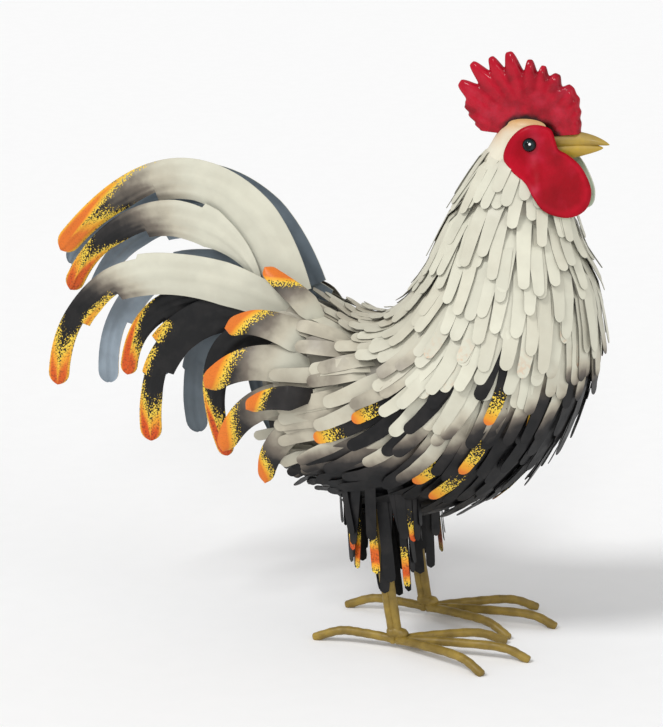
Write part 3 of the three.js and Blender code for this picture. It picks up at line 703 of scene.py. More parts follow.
for side, side_name in ((1, "right"), (-1, "left")):
    rods = []
    for shift in (-shank_spacing / 2, shank_spacing / 2):
        middle = 0.5 * (hip + ankle)
        corners = [hip + (0.6 * shift, 0, 0), middle + (shift, 0, 0), ankle + (shift, 0, -7)]
        path = smooth_path(corners, shank_steps)
        rods.append(rod(path, rod_radius + 0.15 * np.sin(np.arange(shank_steps) * 1.9), (0, 1, 0)))
    weld_path = smooth_path([ankle + (-6, 0, 1), ankle + (0, 0, 2.5), ankle + (8, 0, -0.5)], weld_steps)
    rods.append(rod(weld_path, 5.2 + 0.5 * np.sin(np.arange(weld_steps) * 2.1), (0, 0, 1)))
    piece = leg_piece(side_name + "_shank_rods", *joined(rods), side)
    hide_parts(side_name + "_shank")
    for toe_name, (heading, length) in toe_forms.items():
        aim = np.array([np.cos(np.radians(heading)), np.sin(np.radians(heading)), 0])
        upward = np.array([0, 0, 1.0])
        foot = ankle * (1, 1, 0)
        corners = [foot + 2 * aim + 8.5 * upward, foot + 0.4 * length * aim + 11 * upward,
                   foot + (length - 24) * aim + 11 * upward, foot + length * aim + 2.3 * upward]
        path = smooth_path(corners, toe_steps)
        points, faces = rod(path, rod_radius + 0.18 * np.sin(np.arange(toe_steps) * 1.7), (0, 0, 1))
        piece = leg_piece(side_name + "_" + toe_name + "_rod", points, faces, side)
        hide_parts(side_name + "_" + toe_name)


# Tail feathers
# Six long sickles on each side, cut from sheet with split edges, creased down their length and welded
# into the rump. Cream or charcoal outside with orange dabs at the tips, and blue-grey on the inner side.

# Each form gives the corners of its curve in the side view, half its width, the share of the width left
# at the tip, and where it narrows. Its base widens the lower edge at the root, its spread is the distance
# sideways at root and tip, and the left one is moved forward. Soot is where cream turns to charcoal;
# flame is where the dab begins, its lean across and its head start at the rims; char is the dark grain
# in it; slate is how dark the inner side is. A split gives its place, its edge (1 lower, -1 upper), the
# flare before it, the cut after it, the strength of its dab and its run.
tail_forms = [
    {"curve": [(-24, 314), (-68, 430), (-168, 446), (-257, 335)], "half": 18.3, "taper": 0.58,
     "narrow": (0.5, 1.0), "base": 1.1, "spread": (17, 8), "left": 4, "soot": (0.46, 1.0),
     "flame": (0.83, 0.06, 0.12), "char": 0.14, "slate": 0.5,
     "splits": [(0.66, 1, 0.12, 0.38, 0.0, 0.16)]},
    {"curve": [(-60, 319), (-90, 392), (-204, 399), (-244, 301)], "half": 18, "taper": 0.5,
     "narrow": (0.35, 0.9), "base": 0.0, "spread": (21, 18), "left": 8, "soot": (0.34, 0.84),
     "flame": (0.84, -0.05, 0.08), "char": 0.42, "slate": 0.1,
     "splits": [(0.36, -1, 0.1, 0.16, 0.0, 0.1), (0.6, 1, 0.15, 0.3, 0.0, 0.12)]},
    {"curve": [(-25, 297), (-110, 343), (-249, 346), (-250, 216)], "half": 18.5, "taper": 0.54,
     "narrow": (0.45, 0.8), "base": 0.3, "spread": (27, 38), "left": 13, "soot": (0.46, 0.78),
     "flame": (0.87, 0.0, 0.06), "char": 0.4, "slate": 0.15,
     "splits": [(0.5, -1, 0.08, 0.14, 0.0, 0.12), (0.6, 1, 0.1, 0.34, 0.0, 0.14),
                (0.79, 1, 0.62, 0.06, 1.0, 0.17)]},
    {"curve": [(-24, 288), (-106, 315), (-184, 308), (-187, 227)], "half": 14, "taper": 0.58,
     "narrow": (0.4, 0.95), "base": 0.0, "spread": (12, 24), "left": 10, "soot": (-0.5, -0.2),
     "flame": (0.79, 0.12, 0.06), "char": 0.45, "slate": 0.8,
     "splits": [(0.62, 1, 0.15, 0.1, 0.0, 0.16)]},
    {"curve": [(-24, 285), (-112, 314), (-174, 264), (-160, 170)], "half": 17, "taper": 0.62,
     "narrow": (0.5, 0.85), "base": 0.0, "spread": (20, 36), "left": 10, "soot": (-0.5, -0.2),
     "flame": (0.86, 0.03, 0.06), "char": 0.55, "slate": 0.75,
     "splits": [(0.62, -1, 0.22, 0.2, 0.9, 0.1), (0.76, -1, 0.12, 0.1, 0.85, 0.12),
                (0.72, 1, 0.26, 0.3, 0.0, 0.16)]},
    {"curve": [(-22, 273), (-92, 295), (-118, 233), (-83, 165)], "half": 14, "taper": 0.58,
     "narrow": (0.4, 0.95), "base": 0.0, "spread": (27, 44), "left": 10, "soot": (-0.5, -0.2),
     "flame": (0.78, 0.1, 0.06), "char": 0.5, "slate": 0.9, "splits": []},
]
tail_columns = np.linspace(-1, 1, 11)
tail_steps = 42
tail_thickness = 1.0
tail_pivot = (-20, 300)
left_tail_turn = -4.0
tip_shares = np.array([0.35, 0.62, 0.8, 0.92, 0.98, 1.0])


def carried_strip(path, normal, low_half, high_half, columns, ridge, thickness):
    """Flat section carried along a path. Across it the strip reaches high_half to one side and low_half to
    the other, and the ridge height of each column is added along the normal."""
    along = unit(np.gradient(path, axis=0))
    normal = unit(normal - along * np.sum(normal * along, axis=-1, keepdims=True))
    side = np.cross(normal, along)
    across = np.where(columns > 0, columns * low_half[:, None], columns * high_half[:, None])
    middle = path[:, None] + side[:, None] * across[..., None]
    outer = middle + normal[:, None] * (ridge + 0.5 * thickness)[..., None]
    inner = middle + normal[:, None] * (ridge - 0.5 * thickness)[..., None]
    return np.stack([outer, inner])


def turned_about(points, degrees, pivot):
    """Points turned in the side view about a pivot (x, z)."""
    turn = np.radians(degrees)
    x = points[..., 0] - pivot[0]
    z = points[..., 2] - pivot[1]
    return np.stack([pivot[0] + x * np.cos(turn) + z * np.sin(turn), points[..., 1],
                     pivot[1] - x * np.sin(turn) + z * np.cos(turn)], axis=-1)


def tail_feather(form, pointed):
    """Sickle: a cubic Bezier curve in the side view that drifts sideways from root to tip. Its width
    swells from the root, narrows by a smooth step to a round tip, and flares up to each split, where it
    is cut back."""
    splits = [split[0] for split in form["splits"]]
    reach = 0.92 * np.linalg.norm(np.diff(form["curve"], axis=0), axis=1).sum()
    round_from = 1 - 0.95 * form["taper"] * form["half"] / reach
    even_steps = np.linspace(0, round_from, tail_steps)
    tip_steps = round_from + (1 - round_from) * tip_shares
    share = np.unique(np.concatenate([even_steps, tip_steps, splits, np.add(splits, 0.008)]))
    s = share[:, None]
    a, b, c, d = (np.array(corner, float)[None] for corner in form["curve"])
    flat = (1 - s) ** 3 * a + 3 * (1 - s) ** 2 * s * b + 3 * (1 - s) * s ** 2 * c + s ** 3 * d
    sideways = form["spread"][0] + (form["spread"][1] - form["spread"][0]) * share
    path = np.stack([flat[:, 0], -sideways, flat[:, 1]], axis=-1)
    swell = np.minimum(1, 0.12 + share / 0.35) if pointed else np.minimum(1, 0.62 + share / 0.6)
    first, last = form["narrow"]
    narrowed = 1 - (1 - form["taper"]) * smooth_step((share - first) / (last - first))
    half = form["half"] * swell * narrowed * round_tip(share, round_from)
    edges = {1: half * (1 + form["base"] * np.exp(-(share / 0.3) ** 2)), -1: half.copy()}
    flame = np.zeros((len(share), len(tail_columns)))
    columns = tail_columns[None, :]
    for at, edge, flare, cut, dab, run in form["splits"]:
        before = np.where(share <= at, np.clip((share - at + run) / run, 0, 1), 0)
        after = np.where(share > at, np.clip(1 - (share - at) / 0.12, 0, 1), 0)
        edges[edge] = edges[edge] * (1 + flare * before - cut * after)
        dabbed = dab * np.where(before > 0, 0.45 + 0.75 * before, 0)
        flame = np.maximum(flame, dabbed[:, None] * np.clip(2.6 * edge * columns - 0.9, 0, 1))
    ridge = 2.0 * (1 - np.abs(columns)) + 0.5 * np.cos(columns * 9.5) * np.clip(s * 4, 0, 1)
    points = carried_strip(path, np.broadcast_to((0.0, -1.0, 0.0), path.shape), edges[1], edges[-1],
                           tail_columns, ridge, tail_thickness)
    first, last = form["soot"]
    soot = np.clip((s - first + 0.05 * columns) / (last - first), 0, 1)
    streak = 0.05 * np.cos(columns * 14 + 1.0) * np.clip(4 * soot * (1 - soot), 0, 1)
    tone = np.broadcast_to(np.clip(smooth_step(soot) + streak, 0, 1), flame.shape)
    middle, lean, rim = form["flame"]
    begins = middle + lean * columns - rim * columns ** 2
    flame = np.maximum(flame, np.clip(0.25 + (s - begins) / 0.11, 0, 1.5))
    flame = flame - 0.3 * np.exp(-(columns / 0.12) ** 2) * (flame > 0.2)
    flame = np.minimum(flame, 1.5 - 0.75 * np.abs(columns) ** 3)
    return points, {"tone": tone, "dab": flame}


def sheet_marks(drawn, even):
    """Marks for both faces of a sheet: those drawn point by point, and those that are even all over."""
    marks = {mark: np.stack([values, values]) for mark, values in drawn.items()}
    marks.update({mark: np.full(marks["tone"].shape, value) for mark, value in even.items()})
    return marks


tail_paint, tree, shader = new_paint("tail_paint")
finish_paint(tree, shader, plumage_colour(tree), 0.04, 0.45)
sheen(shader, 0.35)
slate_paint, tree, shader = new_paint("slate_inner_paint")
slate = over(tree, mark_of(tree, "slate"), colour(150, 163, 174), colour(66, 76, 82))
finish_paint(tree, shader, slate, 0.12, 0.5)

for number, form in enumerate(tail_forms, 1):
    points, drawn = tail_feather(form, number == 2)
    marks = sheet_marks(drawn, {"peach": 0.0, "tint": 0.1 + 0.06 * (number % 3),
                                "slate": form["slate"], "char": form["char"]})
    faces = sheet_faces(points.shape[1], len(tail_columns), 1)
    left = turned_about(points * (1, -1, 1), left_tail_turn, tail_pivot) + (form["left"], 0, 0)
    slot = "plumage" if number < 4 else "dark_plumage"
    for side_name, placed, shown in (("right", points, faces), ("left", left, turned_over(faces))):
        piece = sheet_piece(side_name + "_tail_sickle_%d" % number, placed, shown, slot, marks,
                            paints=(tail_paint, slate_paint), edge_paint=0)
        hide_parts(side_name + "_tail_feather_%d" % number)


# Saddle feathers
# Six broad feathers on each flank that reach back over the tail's roots, cut from the same sheet, dished
# and welded at the front end. Cream turns through grey-brown to charcoal, and the tip is dabbed orange.

# Each form gives root, middle and tip, half its width, the degrees that the left one droops, how deep its
# root dives and over which share of it, where cream turns to charcoal, and where the dab begins.
saddle_forms = [
    {"path": [(14, -48, 296), (-18, -46, 319), (-50, -38, 339)], "half": 12, "droop": 22, "dive": (24, 0.5),
     "soot": (0.12, 0.85), "flame": 0.64},
    {"path": [(16, -72, 284), (-34, -66, 297), (-80, -58, 286)], "half": 16, "droop": 9, "dive": (48, 0.75),
     "soot": (0.2, 0.85), "flame": 0.68},
    {"path": [(10, -84, 256), (-46, -76, 262), (-97, -66, 233)], "half": 18, "droop": 9, "dive": (44, 0.7),
     "soot": (0.22, 0.86), "flame": 0.72},
    {"path": [(14, -93, 234), (-22, -89, 234), (-52, -83, 221)], "half": 12, "droop": 9, "dive": (40, 0.36),
     "soot": (-0.6, -0.2), "flame": 0.66},
    {"path": [(-4, -83, 222), (-50, -72, 217), (-82, -62, 174)], "half": 16, "droop": 9, "dive": (40, 0.6),
     "soot": (0.15, 0.8), "flame": 0.72},
    {"path": [(2, -82, 194), (-28, -73, 184), (-42, -62, 148)], "half": 13, "droop": 9, "dive": (38, 0.6),
     "soot": (0.15, 0.8), "flame": 0.74},
]
saddle_columns = np.linspace(-1, 1, 9)
saddle_steps = 26


def saddle_feather(form):
    """Broad feather: a quadratic curve through root, middle and tip, facing outwards and a little up where
    it sits high. Its width swells from the root and rounds off at the tip, its edges bend in, and its root
    dives under the feathers in front of it."""
    round_from = 1 - 0.55 * form["half"] / np.linalg.norm(np.diff(form["path"], axis=0), axis=1).sum()
    tip_steps = round_from + (1 - round_from) * tip_shares
    share = np.concatenate([np.linspace(0, round_from, saddle_steps), tip_steps])
    s = share[:, None]
    root, middle, tip = (np.array(corner, float)[None] for corner in form["path"])
    control = 2 * middle - 0.5 * root - 0.5 * tip
    path = (1 - s) ** 2 * root + 2 * s * (1 - s) * control + s ** 2 * tip
    normal = np.stack([0 * share, 0 * share - 1, 0.012 * (path[:, 2] - 235)], axis=-1)
    swell = np.minimum(1, 0.2 + share / 0.4)
    half = form["half"] * swell * (1 - 0.5 * share ** 2) * round_tip(share, round_from)
    columns = saddle_columns[None, :]
    dish = 1.2 - 2.4 * columns ** 2 * np.ones_like(s)
    deep, dive_share = form["dive"]
    dish = dish - deep * np.clip(1 - s / dive_share, 0, 1) ** 1.5
    points = carried_strip(path, normal, half, half, saddle_columns, dish, feather_thickness)
    first, last = form["soot"]
    tone = 0.86 * smooth_step((s - first - 0.04 * columns) / (last - first))
    flame = np.clip(0.3 + (s - form["flame"] - 0.14 * columns) / 0.2, 0, 1.25)
    return points, {"tone": tone, "dab": flame}


for number, form in enumerate(saddle_forms, 1):
    points, drawn = saddle_feather(form)
    marks = sheet_marks(drawn, {"peach": 0.0, "tint": 0.35 + 0.1 * (number % 3), "char": 0.1})
    faces = sheet_faces(points.shape[1], len(saddle_columns), 1)
    root = form["path"][0]
    left = turned_about(points * (1, -1, 1), -form["droop"], (root[0], root[2]))
    for side_name, placed, shown in (("right", points, faces), ("left", left, turned_over(faces))):
        piece = sheet_piece(side_name + "_saddle_%d" % number, placed, shown, "plumage", marks)
        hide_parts(side_name + "_saddle_feather_%d" % number)


# Head
# Two pressed steel halves welded into a smooth skull on top of the neck. Painted cream, with tan sprayed
# round the foot of the comb.

crown = np.array([182.0, 0.0, 482.0])
head_foot = neck_seam + 0.12
head_sides = 48


def head_form(rows, columns):
    """Skull: the body's top rings, domed over to the crown above ring 0. Over the dome a point moves from
    ring 0 to the crown with the sine of the rise, while it climbs with one less the cosine."""
    turn = np.linspace(0, 2 * np.pi, columns, endpoint=False)[None, :]
    rise = np.linspace(0.5 * np.pi, 0.06 * np.pi, rows // 2)[:, None, None]
    rim = skin(np.zeros((1, 1)), turn)
    inward = crown * (1, 1, 0) + (rim - crown) * (1, 1, 0) * np.sin(rise)
    height = rim[..., 2:] + (crown[2] - rim[..., 2:]) * np.cos(rise)
    dome = inward + height * (0, 0, 1)
    sides = skin(np.linspace(0.06, head_foot, rows)[:, None], turn)
    return np.concatenate([dome[::-1], sides])


head_paint, tree, shader = new_paint("head_paint")
height = position(tree)["Z"]
height = sums(tree, "ADD", height, ease(tree, grain(tree, 40.0, 3.0), 0.3, 0.7, -0.004, 0.004))
cream = over(tree, ease(tree, height, 0.455, 0.486), colour(224, 218, 198), colour(206, 160, 100))
finish_paint(tree, shader, cream, 0.04, 0.45)

head_points = head_form(20, head_sides)
head_ends = [crown, ring_middle(head_foot)]
piece = make_piece("head_shell", np.vstack([head_points.reshape(-1, 3), head_ends]),
                   round_faces(len(head_points), head_sides), [head_paint], "plumage")
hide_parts("head")


# Comb
# Two pressed steel halves welded at the edge, with eight round points and radial wrinkles, fixed along
# the crown. Glossy crimson, shaded nearly black where it meets the head.

comb_middle = np.array([185.0, 465.0])
comb_angles = [177, 171, 164, 160, 155.5, 147.4, 140, 133.2, 126.8, 121, 115.4, 108.8,
               100.4, 94.5, 88, 83.6, 77, 70.5, 61.5, 55, 45, 33, 22, 8]
comb_reaches = [49, 54, 61.5, 67, 68, 80.5, 66.6, 83.5, 69, 78, 64.5, 76,
                57.5, 66.5, 56, 62, 54.5, 58.5, 50.5, 55.6, 53, 47.7, 43.8, 41.7]
comb_foot_angles = [0, 30, 60, 90, 117, 140, 160, 177]
comb_foot_reaches = [27, 20.5, 18, 18.5, 21.3, 25.0, 27.5, 29]
rim_from = 0.86


def comb_edge(angle):
    """Reach of the comb's edge at an angle: from a notch to the point beside it the reach is a smooth step
    and part of a parabola, so that points stay broad and round and notches narrow."""
    order = np.argsort(comb_angles)
    angles = np.array(comb_angles, float)[order]
    reaches = np.array(comb_reaches, float)[order]
    first = np.clip(np.searchsorted(angles, angle) - 1, 0, len(angles) - 2)
    t = (angle - angles[first]) / (angles[first + 1] - angles[first])
    low, high = reaches[first], reaches[first + 1]
    from_notch = np.where(high > low, t, 1 - t)
    rise = smooth_step((from_notch - 0.06) / 0.72)
    from_notch = 0.78 * rise + 0.22 * (1 - (1 - from_notch) ** 2)
    return np.minimum(low, high) + np.abs(high - low) * from_notch


def comb_side(angles, shares):
    """One half of the comb: rays from the middle to the edge. Its depth falls from the base to the edge,
    closes round at the rim, and swells along the points and sinks between them."""
    reach = comb_edge(angles)[:, None]
    away = reach * (0.1 + 0.9 * shares[None, :])
    x = comb_middle[0] + away * np.cos(np.radians(angles))[:, None]
    z = comb_middle[1] + away * np.sin(np.radians(angles))[:, None]
    flat = np.interp(angles, [0, 8, 53, 61, 160, 176], [0, 0, 0, 1, 1, 0])[:, None]
    wrinkle = flat * (reach - 66) / 14 * np.clip((away - 40) / 26, 0, 1)
    fold = 0.3 * np.sin(np.radians(angles) * 31)[:, None] * np.clip((away - 36) / 16, 0, 1)
    depth = 9.5 - 6.0 * np.clip(away / 85, 0, 1) + 0.7 * wrinkle + fold
    past = np.clip((shares[None, :] - rim_from) / (1 - rim_from), 0, 1)
    rim = np.sqrt(np.maximum(1 - past ** 2, 0))
    return x, np.maximum(depth, 1.5) * rim, z, away, wrinkle + fold


comb_angle = np.linspace(6, 177, 250)
rim_shares = rim_from + (1 - rim_from) * np.sin(np.linspace(0.2, 1, 6) * np.pi / 2)
comb_share = np.concatenate([np.linspace(0, rim_from, 16), rim_shares])
x, depth, z, away, wrinkle = comb_side(comb_angle, comb_share)
right_half = np.stack([x, -depth, z], axis=-1)
left_half = np.stack([x, depth, z], axis=-1)[:, ::-1]
comb_points = np.concatenate([right_half, left_half[:, 1:]], axis=1)
comb_columns = comb_points.shape[1]
above_foot = away - np.interp(comb_angle, comb_foot_angles, comb_foot_reaches)[:, None]
comb_above = np.concatenate([above_foot, above_foot[:, ::-1][:, 1:]], axis=1)
comb_relief_shade = np.concatenate([wrinkle, wrinkle[:, ::-1][:, 1:]], axis=1)
comb_ends = comb_points[[0, -1]].mean(axis=1)
comb_faces = turned_over(round_faces(len(comb_angle), comb_columns))


def gloss_over(shader, weight, roughness):
    """A clear coat in place of the paint's own sheen."""
    sheen(shader, 0.0)
    shader.inputs["Coat Weight"].default_value = weight
    shader.inputs["Coat Roughness"].default_value = roughness


comb_paint, tree, shader = new_paint("comb_crimson")
cloud = ease(tree, grain(tree, 110.0, 4.0), 0.3, 0.7, -0.4, 0.4)
# Painted shade between the points and painted light along them, mixed with random cloud
raised = ease(tree, sums(tree, "ADD", mark_of(tree, "hollow"), cloud), -1.1, 0.7)
red = over(tree, raised, colour(124, 6, 22), colour(174, 14, 38))
dark = sums(tree, "ADD", mark_of(tree, "above"), sums(tree, "MULTIPLY", cloud, 2.0))
red = over(tree, ease(tree, dark, -2.5, 3.5, 1.0, 0.0), red, colour(34, 10, 10))
# Pale pink patches at random: worn paint, and painted sheen
pink_wear_and_sheen = ease(tree, grain(tree, 46.0, 4.0), 0.5, 0.74, 0.0, 0.36)
red = over(tree, pink_wear_and_sheen, red, colour(190, 56, 78))
finish_paint(tree, shader, red, 0.1, 0.36, relief=grain(tree, 110.0, 3.0), relief_depth=0.003)
gloss_over(shader, 0.5, 0.15)

marks = {"hollow": np.append(comb_relief_shade.ravel(), [0, 0]), "above": np.append(comb_above.ravel(), [4, 4])}
piece = make_piece("comb_pressing", np.vstack([comb_points.reshape(-1, 3), comb_ends]), comb_faces,
                   [comb_paint], "comb_red", marks=marks)
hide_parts("comb")


# Face plates and wattles
# One pressed plate on each cheek that runs down into the wattle, with a rolled edge. Glossy crimson
# outside, pale grey-green primer on the back of the wattle.

face_outline = [(190, 478.5), (203, 475), (207.5, 465), (210.5, 457), (218.5, 451.5), (229.5, 440),
                (238, 421), (235, 405), (222, 399), (205, 405.5), (194, 418), (186, 429), (172, 438),
                (164.5, 449), (168.5, 463), (178, 474)]
face_middle = np.array([201.0, 445.0])
face_thickness = 3.0
face_sides = 72


def closed_outline(corners, count):
    """Closed Catmull-Rom curve through the corners, read at even steps."""
    corners = np.asarray(corners, float)
    wrapped = np.vstack([corners[-2:], corners, corners[:3]])
    return along_rings(wrapped, 2 + np.linspace(0, len(corners), count, endpoint=False))


def face_depth(x, z):
    """Distance of the plate from the middle of the head: full on the cheek, closing towards the beak, and
    flaring where the wattle hangs over the neck."""
    forward = 0.5 * (x - 188 + np.hypot(x - 188, 26)) - 3
    below = 0.5 * (452 - z + np.hypot(452 - z, 26)) * (0.55 + 0.45 * np.tanh((x - 178) / 16))
    flare = 0.58 - 0.14 * (1 + np.tanh((x - 208) / 14))
    return np.maximum(28 - 0.62 * forward + flare * below, 6)


def face_plate(shares, count):
    """Plate: rings from its middle to its outline, domed by the square of the share, with a rolled rim and
    a hollow in the middle of the wattle."""
    edge = closed_outline(face_outline, count)
    flat = face_middle + (edge[None] - face_middle) * shares[:, None, None]
    x, z = flat[..., 0], flat[..., 1]
    share = np.broadcast_to(shares[:, None], x.shape)
    wattle = np.exp(-(((x - 219) / 15) ** 2 + ((z - 424) / 19) ** 2))
    rim = np.exp(-((share - 0.9) / 0.08) ** 2)
    depth = face_depth(x, z) + 4 * (1 - share ** 2) + 0.8 * rim - 1.2 * wattle * (1 - share ** 4)
    edge_round = np.clip((share - 0.93) / 0.07, 0, 1) ** 2
    outer = np.stack([x, -depth + 0.45 * face_thickness * edge_round, z], axis=-1)
    inner = np.stack([x, -depth + face_thickness * (1 - 0.4 * edge_round), z], axis=-1)
    return outer, inner, wattle, rim


face_shares = np.concatenate([np.linspace(0.08, 0.86, 12), np.linspace(0.9, 1, 6)])
outer, inner, wattle, rim = face_plate(face_shares, face_sides)
rows, columns = outer.shape[:2]
number = np.arange(rows * columns).reshape(rows, columns)
beside = np.roll(number, -1, axis=1)
front = np.stack([number[:-1], beside[:-1], beside[1:], number[1:]], -1).reshape(-1, 4)
total = rows * columns + 1
centre = np.full(columns, total - 1)
front_fan = np.stack([beside[0], number[0], centre], -1)
edge_wall = np.stack([number[-1], beside[-1], beside[-1] + total, number[-1] + total], -1)
face_faces = [front, front_fan, front[:, ::-1] + total, front_fan[:, ::-1] + total, edge_wall]
face_points = np.vstack([outer.reshape(-1, 3), outer[0].mean(axis=0),
                         inner.reshape(-1, 3), inner[0].mean(axis=0)])
# Where the paint puts painted shade in the wattle's hollow and a painted highlight on the rolled rim
face_relief_shade = np.append(wattle.ravel() - rim.ravel(), [0])

face_paint, tree, shader = new_paint("face_crimson")
cloud = ease(tree, grain(tree, 60.0, 3.0), 0.3, 0.7, -0.4, 0.4)
# Painted shade in the wattle's hollow and painted light on the rolled rim, mixed with random cloud
hollow_shade_rim_light = ease(tree, sums(tree, "ADD", mark_of(tree, "dip"), cloud), -0.9, 0.9)
red = over(tree, hollow_shade_rim_light, colour(174, 10, 34), colour(146, 5, 22))
# Pale pink patches at random: worn paint, and painted sheen
pink_wear_and_sheen = ease(tree, grain(tree, 34.0, 4.0), 0.5, 0.74, 0.0, 0.42)
red = over(tree, pink_wear_and_sheen, red, colour(206, 52, 82))
finish_paint(tree, shader, red, 0.1, 0.36, relief=grain(tree, 70.0, 3.0), relief_depth=0.004)
gloss_over(shader, 0.25, 0.34)
primer_paint, tree, shader = new_paint("wattle_primer")
finish_paint(tree, shader, colour(204, 214, 194), 0.1, 0.6)

marks = {"dip": np.append(face_relief_shade, face_relief_shade)}
for side, side_name in ((1, "right"), (-1, "left")):
    piece = make_piece(side_name + "_cheek_plate", *mirrored(face_points, face_faces, side),
                       [face_paint, primer_paint], "comb_red", paint_numbers=(0, 0, 1, 1, 0), marks=marks)
    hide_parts(side_name + "_face_and_wattle")


# Eyes
# A glossy bead pressed into a socket in each cheek plate: black rim, dark teal ring and black pupil, with
# a painted highlight: a white spot where a lamp's reflection would be.

eye_middle = np.array([188.0, -28.6, 462.0])
eye_radius = 6.0
eye_rows = 40
eye_sides = 40


def eye_bead(rows, columns):
    """Bead turned about the line that points out of the cheek: a sphere with a groove round the iris."""
    fall = np.linspace(0.06, 0.95, rows)[:, None] * np.pi
    turn = np.linspace(0, 2 * np.pi, columns, endpoint=False)[None, :]
    radius = eye_radius * (1 - 0.05 * np.exp(-((fall - 1.05) / 0.09) ** 2))
    x = radius * np.sin(fall) * np.cos(turn)
    z = radius * np.sin(fall) * np.sin(turn)
    y = -radius * np.cos(fall) * np.ones_like(turn)
    points = eye_middle + np.stack([x, y, z], axis=-1)
    poles = [eye_middle - (0, eye_radius, 0), eye_middle + (0, eye_radius, 0)]
    points = np.vstack([points.reshape(-1, 3), poles])
    outward = unit(points - eye_middle)
    glint = np.arccos(np.clip(outward @ unit(np.array([0.3, -1.0, 0.3])), -1, 1))
    return points, np.append(np.broadcast_to(fall, x.shape).ravel(), [0, np.pi]), glint


eye_points, eye_ring, eye_glint = eye_bead(eye_rows, eye_sides)
eye_paint, tree, shader = new_paint("eye_gloss")
ring = mark_of(tree, "ring")
band = sums(tree, "MULTIPLY", ease(tree, ring, 0.5, 0.62), ease(tree, ring, 1.0, 1.08, 1.0, 0.0))
band = sums(tree, "MULTIPLY", band, ease(tree, grain(tree, 500.0, 2.0), 0.3, 0.6, 0.6, 1.0))
dark = over(tree, band, colour(4, 5, 6), colour(20, 46, 50))
# Painted highlight: a small white spot on the bead, up and forward of its middle
glint = ease(tree, mark_of(tree, "glint"), 0.13, 0.24, 1.0, 0.0)
dark = over(tree, glint, dark, colour(246, 248, 248))
finish_paint(tree, shader, dark, 0.05, 0.12, skin_strength=0.02)
gloss_over(shader, 0.5, 0.05)

marks = {"ring": eye_ring, "glint": eye_glint}
eye_faces = round_faces(eye_rows, eye_sides)
for side, side_name in ((1, "right"), (-1, "left")):
    piece = make_piece(side_name + "_eye_bead", *mirrored(eye_points, eye_faces, side),
                       [eye_paint], "eye_black", marks=marks)
    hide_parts(side_name + "_eye")


# Beak
# Upper and lower bill pressed from sheet and welded into the face, with a slit between them near the
# tip. Olive-yellow, browner along the slit and at the root.

beak_base = 200.0
bill_rows = 26
bill_sides = 28


def bill(tip_x, tip_z, base_z, up, down, half_width, arch):
    """Bill: half-round sections that shrink from root to tip with a power of the way along, while the
    section's middle follows a line bent by an arch. It reaches up above that line and down below it."""
    s = np.linspace(0, 0.985, bill_rows)[:, None]
    turn = np.linspace(0, 2 * np.pi, bill_sides, endpoint=False)[None, :]
    size = (1 - s) ** 0.65
    x = beak_base + (tip_x - beak_base) * s + 0 * turn
    middle = base_z + (tip_z - base_z) * s + arch * np.sin(np.pi * s) * s
    tall = np.where(np.sin(turn) > 0, up, down)
    y = half_width * size * np.cos(turn) * (1 - 0.22 * np.maximum(np.sin(turn), 0))
    z = middle + tall * size * np.sin(turn)
    points = np.stack([x, y, z], axis=-1)
    poles = [(beak_base - 1, 0, base_z), (tip_x, 0, tip_z)]
    return np.vstack([points.reshape(-1, 3), poles]), turned_over(round_faces(bill_rows, bill_sides))


upper_bill = bill(tip_x=252.0, tip_z=460.5, base_z=462.0, up=11.5, down=9.0, half_width=9.2, arch=4.0)
lower_bill = bill(tip_x=246.5, tip_z=457.6, base_z=454.0, up=9.5, down=12.5, half_width=9.0, arch=0.6)
points, faces = joined([upper_bill, lower_bill])
beak_paint, tree, shader = new_paint("beak_olive_yellow")
place = position(tree)
cloud = ease(tree, grain(tree, 80.0, 4.0), 0.3, 0.7, -0.005, 0.005)
root = ease(tree, sums(tree, "ADD", place["X"], cloud), 0.206, 0.226, 0.75, 0.0)
ridge = ease(tree, sums(tree, "ADD", place["Z"], cloud), 0.452, 0.472)
yellow = over(tree, ridge, colour(182, 150, 48), colour(150, 126, 62))
yellow = over(tree, root, yellow, colour(112, 82, 34))
finish_paint(tree, shader, yellow, 0.08, 0.38)
piece = make_piece("bill", points, faces, [beak_paint], "beak_yellow")
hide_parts("beak")


# Floor, light and camera
# A plain pale floor, a white sky with three broad soft lamps, and the camera at the photograph's angle.

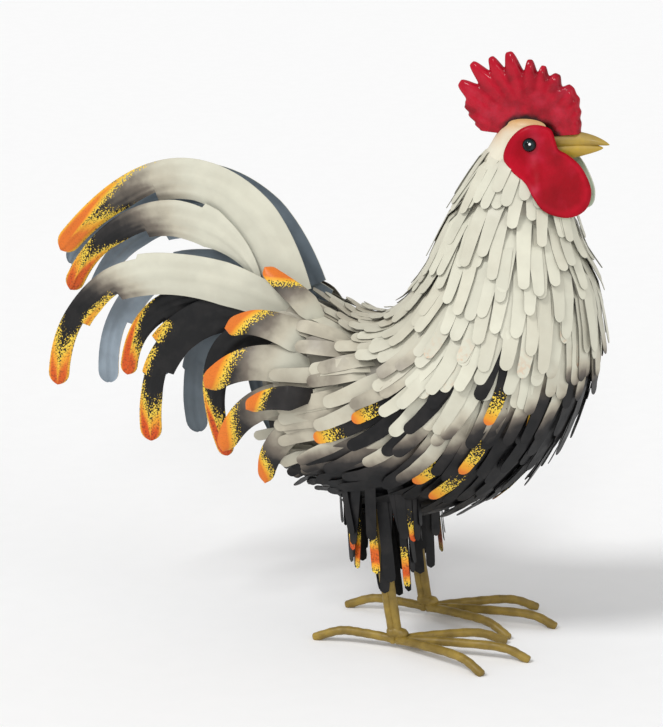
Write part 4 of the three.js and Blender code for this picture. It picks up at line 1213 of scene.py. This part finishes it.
floor_reach = 40
floor_corners = [(-1, -1, 0), (1, -1, 0), (1, 1, 0), (-1, 1, 0)]
floor_mesh = bpy.data.meshes.new("floor")
floor_mesh.from_pydata([np.multiply(corner, floor_reach) for corner in floor_corners], [], [(0, 1, 2, 3)])
floor = bpy.data.objects.new("floor", floor_mesh)
bpy.context.scene.collection.objects.link(floor)
floor_paint, tree, shader = new_paint("floor_matt")
finish_paint(tree, shader, (0.95, 0.95, 0.95, 1.0), 0.004, 0.85, skin_strength=0.0)
sheen(shader, 0.0)
floor_mesh.materials.append(floor_paint)

sky = bpy.data.worlds.new("studio")
sky.use_nodes = True
backdrop = sky.node_tree.nodes["Background"]
backdrop.inputs["Color"].default_value = (1.0, 1.0, 1.0, 1.0)
seen = put(sky.node_tree, "LightPath", {})["Is Camera Ray"]
sky.node_tree.links.new(ease(sky.node_tree, seen, 0.0, 1.0, 0.56, 1.0), backdrop.inputs["Strength"])
bpy.context.scene.world = sky


def direction(azimuth, elevation):
    """Direction out from the bird: degrees round it from its right side towards its front, and upwards."""
    turn, lift = np.radians([azimuth, elevation])
    return np.array([np.sin(turn) * np.cos(lift), -np.cos(turn) * np.cos(lift), np.sin(lift)])


def facing_back(name, data, outward):
    """Lamp or camera in the scene, turned to look back along an outward direction."""
    holder = bpy.data.objects.new(name, data)
    holder.rotation_mode = "QUATERNION"
    holder.rotation_quaternion = Vector(outward).to_track_quat("Z", "Y")
    bpy.context.scene.collection.objects.link(holder)
    return holder


def soft_lamp(name, azimuth, elevation, softness, power):
    """Even light from one direction, softened over a number of degrees."""
    lamp = bpy.data.lights.new(name, "SUN")
    lamp.angle = np.radians(softness)
    lamp.energy = power
    facing_back(name, lamp, direction(azimuth, elevation))


soft_lamp("key_light", azimuth=-30, elevation=50, softness=16, power=1.4)
soft_lamp("front_light", azimuth=14, elevation=26, softness=9, power=0.4)
soft_lamp("fill_light", azimuth=65, elevation=25, softness=50, power=0.4)

subject = np.array([0.001 * forward_shift, 0.0, 0.246])
view_distance = 3.0
focal_length_pixels = 3333.3
photo_height_pixels = 727.0
camera_data = bpy.data.cameras.new("camera")
camera_data.sensor_width = 36.0
camera_data.lens = camera_data.sensor_width * focal_length_pixels / photo_height_pixels
camera_data.clip_end = 50.0
outward = direction(azimuth=18.0, elevation=14.5)
camera = facing_back("camera", camera_data, outward)
camera.location = subject + view_distance * outward
bpy.context.scene.camera = camera
bpy.context.scene.view_settings.view_transform = "Standard"
